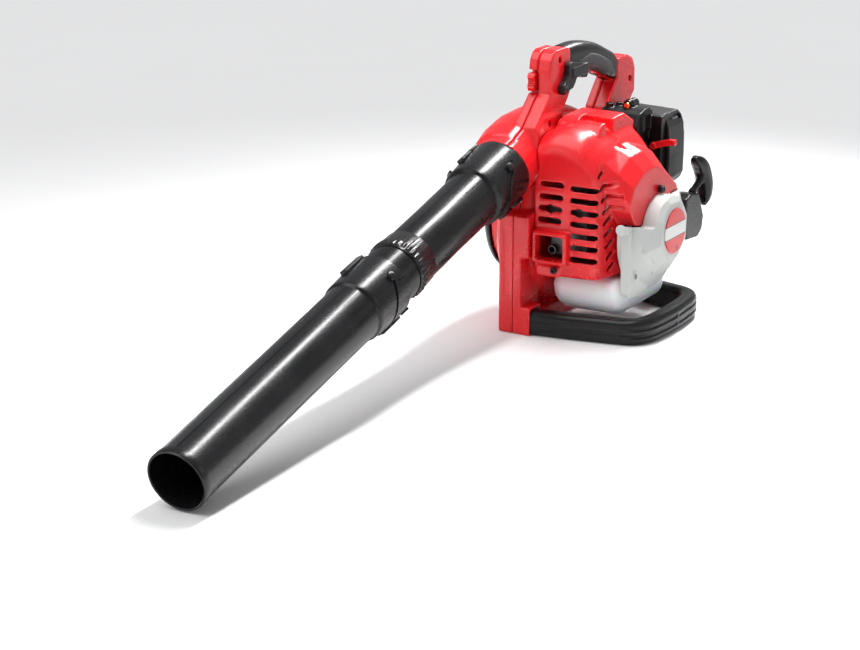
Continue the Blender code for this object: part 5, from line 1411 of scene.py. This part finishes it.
def make_switch():
    outline = [(-0.0515, 0.2995), (-0.0600, 0.2995), (-0.0622, 0.3030), (-0.0625, 0.3060), (-0.0608, 0.3095),
               (-0.0606, 0.3125), (-0.0625, 0.3160), (-0.0622, 0.3195), (-0.0600, 0.3220), (-0.0515, 0.3220)]
    switch = prism(outline, "X", *SWITCH_X)
    ridges = []
    for number in range(4):
        level = 0.3040 + 0.0044 * number
        ridges.append(box((SWITCH_X[0] + 0.0010, -0.0632, level - 0.0006),
                          (SWITCH_X[1] - 0.0010, -0.058, level + 0.0006)))
    melt(unite(switch, *ridges), 0.0005, 3)
    settle(switch, "stop_switch_skin", "red", "switch", "stop_switch", smooth=0)


def curve_at(path, y):
    """Point of a path at a given y, between its samples."""
    for here, there in zip(path, path[1:]):
        if here.y <= y <= there.y:
            return here.lerp(there, (y - here.y) / (there.y - here.y))
    return path[-1] if y > path[-1].y else path[0]


def cord_piece(name, points, radius, node):
    """Round held cord, swept along its given route."""
    path = smooth_path(points, 10)
    curve = bpy.data.curves.new("cable", "CURVE")
    curve.dimensions = "3D"
    curve.bevel_depth = radius
    curve.bevel_resolution = 6
    curve.render_resolution_u = 0
    curve.use_fill_caps = True
    spline = curve.splines.new("POLY")
    spline.points.add(len(path) - 1)
    for item, place in zip(spline.points, path):
        item.co = (*place, 1.0)
    route = bpy.data.objects.new("route", curve)
    bpy.context.scene.collection.objects.link(route)
    graph = bpy.context.evaluated_depsgraph_get()
    cord = bpy.data.objects.new("cord", bpy.data.meshes.new_from_object(route.evaluated_get(graph)))
    bpy.data.objects.remove(route)
    bpy.context.scene.collection.objects.link(cord)
    settle(cord, name, "rubber", "frame", node, smooth=0)


def make_cords():
    cord_piece("throttle_cable_skin",
               [(0.0215, -0.0200, 0.2360), (0.0220, 0.0000, 0.2380), (0.0225, 0.0280, 0.2310),
                (0.0240, 0.0480, 0.2160), (0.0300, 0.0640, 0.2090), (0.0345, 0.0690, 0.2080)],
               0.0022, "throttle_cable")
    cord_piece("ignition_lead_skin",
               [(0.0985, 0.0, 0.2026), (0.0985, 0.0, 0.2150), (0.0940, 0.0, 0.2330), (0.0800, 0.0, 0.2425),
                (0.0670, 0.0, 0.2440)], 0.0030, "ignition_lead")
    cord_piece("fuel_pipe_skin",
               [(0.0480, 0.0545, 0.0706), (0.0480, 0.0548, 0.0850), (0.0490, 0.0600, 0.1000),
                (0.0515, 0.0675, 0.1100), (0.0520, 0.0680, 0.1174)], 0.0025, "fuel_pipe")


def dress_frame_nodes():
    """Inner CAD pieces keep their mesh and get rounded edges and real finishes."""
    groups = (
        ("black", 0.0006, ("fan_impeller",)),
        ("black", 0.0005, ("intake_insulator",)),
        ("black", 0.0004, ("recoil_pulley",)),
        ("rubber", 0.0006, ("plug_boot",)),
        ("foam", 0.0010, ("filter_element",)),
        ("dark_steel", 0.0006, ("ignition_coil",)),
        ("dark_steel", 0.0008, ("muffler",)),
        ("aluminium", 0.0008, ("crankcase_fan_half", "crankcase_starter_half")),
        ("aluminium", 0.0006, ("flywheel", "carburettor")),
        ("aluminium", 0.0004, ("piston", "cylinder")),
        ("steel", 0.0005, ("fan_nut", "crankshaft_fan_half", "crankshaft_starter_half", "flywheel_nut",
                           "connecting_rod", "bearing_fan_side", "bearing_starter_side")),
        ("steel", 0.0004, ("starter_cup",)),
        ("steel", 0.0003, ("crank_pin", "wrist_pin", "spark_plug", "throttle_lever")),
        ("steel", 0.0, ("recoil_spring",)),
    )
    for finish_name, width, names in groups:
        for name in names:
            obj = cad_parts[name]
            obj.data.materials.clear()
            obj.data.materials.append(FINISH[finish_name])
            if not width:
                continue
            bevel = obj.modifiers.new("edges", "BEVEL")
            bevel.width = width
            bevel.segments = 2
            bevel.limit_method = "ANGLE"
            bevel.angle_limit = math.radians(40)
            bevel.harden_normals = True


# ----------------------------------------------------------------- surroundings
def area_light(name, place, aim, size, power, spread=180.0):
    light = bpy.data.lights.new(name, "AREA")
    light.shape = "RECTANGLE"
    light.size, light.size_y = size
    light.energy = power
    light.spread = math.radians(spread)
    obj = bpy.data.objects.new(name, light)
    bpy.context.scene.collection.objects.link(obj)
    obj.location = place
    obj.rotation_euler = (Vector(aim) - Vector(place)).to_track_quat("-Z", "Y").to_euler()
    return obj


def make_world():
    world = bpy.data.worlds.new("studio")
    world.use_nodes = True
    background = world.node_tree.nodes["Background"]
    background.inputs["Color"].default_value = (0.97, 0.98, 1.0, 1.0)
    background.inputs["Strength"].default_value = 0.42
    scene = bpy.context.scene
    scene.world = world
    scene.view_settings.view_transform = "Standard"
    scene.view_settings.look = "None"
    scene.view_settings.exposure = 0.0


def make_floor():
    bm = bmesh.new()
    bmesh.ops.create_grid(bm, x_segments=8, y_segments=8, size=14.0)
    floor = new_object("floor", bm)
    floor.location.z = -0.0006
    m = Nodes("floor_mat")
    speck = m.noise(3.0, 2.0)
    tone = m.mix(m.ramp(speck, 0.3, 0.7, 0.0, 1.0), (0.885, 0.885, 0.885), (0.90, 0.90, 0.90))
    m.set(Base_Color=tone, Roughness=0.9, Specular_IOR_Level=0.1)
    floor.data.materials.append(m.material)


def make_lights():
    """Soft key from above, a long strip that lies along the tube, and two weak fills."""
    sun = bpy.data.lights.new("soft_key", "SUN")
    sun.energy = 1.65
    sun.angle = math.radians(50)
    key = bpy.data.objects.new("soft_key", sun)
    bpy.context.scene.collection.objects.link(key)
    key.rotation_euler = Vector((0.30, 0.42, -0.86)).to_track_quat("-Z", "Y").to_euler()

    middle = Vector((0.0, -0.42, 0.14))
    above = middle + Vector((0.067, 0.533, 0.843)) * 1.25
    strip = area_light("long_strip", above, middle, (0.12, 1.6), 12.0, 100.0)
    back = (middle - strip.location).normalized()
    side = (-tube_direction()).cross(back).normalized()
    strip.rotation_euler = Matrix((side, (-back).cross(side), -back)).transposed().to_euler()
    area_light("front_fill", (-0.9, -1.9, 0.9), (0.05, -0.1, 0.15), (0.9, 0.9), 3.0)
    area_light("side_fill", (1.9, 0.3, 0.9), (0.05, 0.0, 0.15), (0.7, 0.7), 1.5)


def make_camera():
    camera = bpy.data.cameras.new("camera")
    camera.lens = 109.37
    camera.sensor_width = 36.0
    camera.clip_end = 60.0
    view = bpy.data.objects.new("camera", camera)
    bpy.context.scene.collection.objects.link(view)
    target = Vector((0.0069, -0.3338, 0.0731))
    distance = 3.083
    azimuth, elevation = math.radians(30.70), math.radians(17.92)
    away = Vector((math.sin(azimuth) * math.cos(elevation), -math.cos(azimuth) * math.cos(elevation),
                   math.sin(elevation)))
    view.location = target + away * distance
    view.rotation_euler = (-away).to_track_quat("-Z", "Y").to_euler()
    bpy.context.scene.camera = view


FINISH = make_finishes()
for carried in list(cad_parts.values()):
    carried.data.materials.clear()
    carried.data.materials.append(FINISH["black"])
make_world()
make_floor()
make_lights()
make_camera()
make_end_tube()
make_middle_tube()
make_locking_ring()
make_pins()
make_case()
make_intake_guard()
make_handle_screws()
make_engine_cover()
make_cover_screws()
make_starter()
make_badge()
make_starter_rope()
make_starter_grip()
make_rope_guide()
make_tank()
make_fuel_cap()
make_primer_bulb()
make_cleaner_base()
make_cleaner_cover()
make_cleaner_screw()
make_choke_lever()
make_base_loop()
make_grip()
make_grip_patches()
make_trigger()
make_trigger_pin()
make_switch()
make_cords()
dress_frame_nodes()
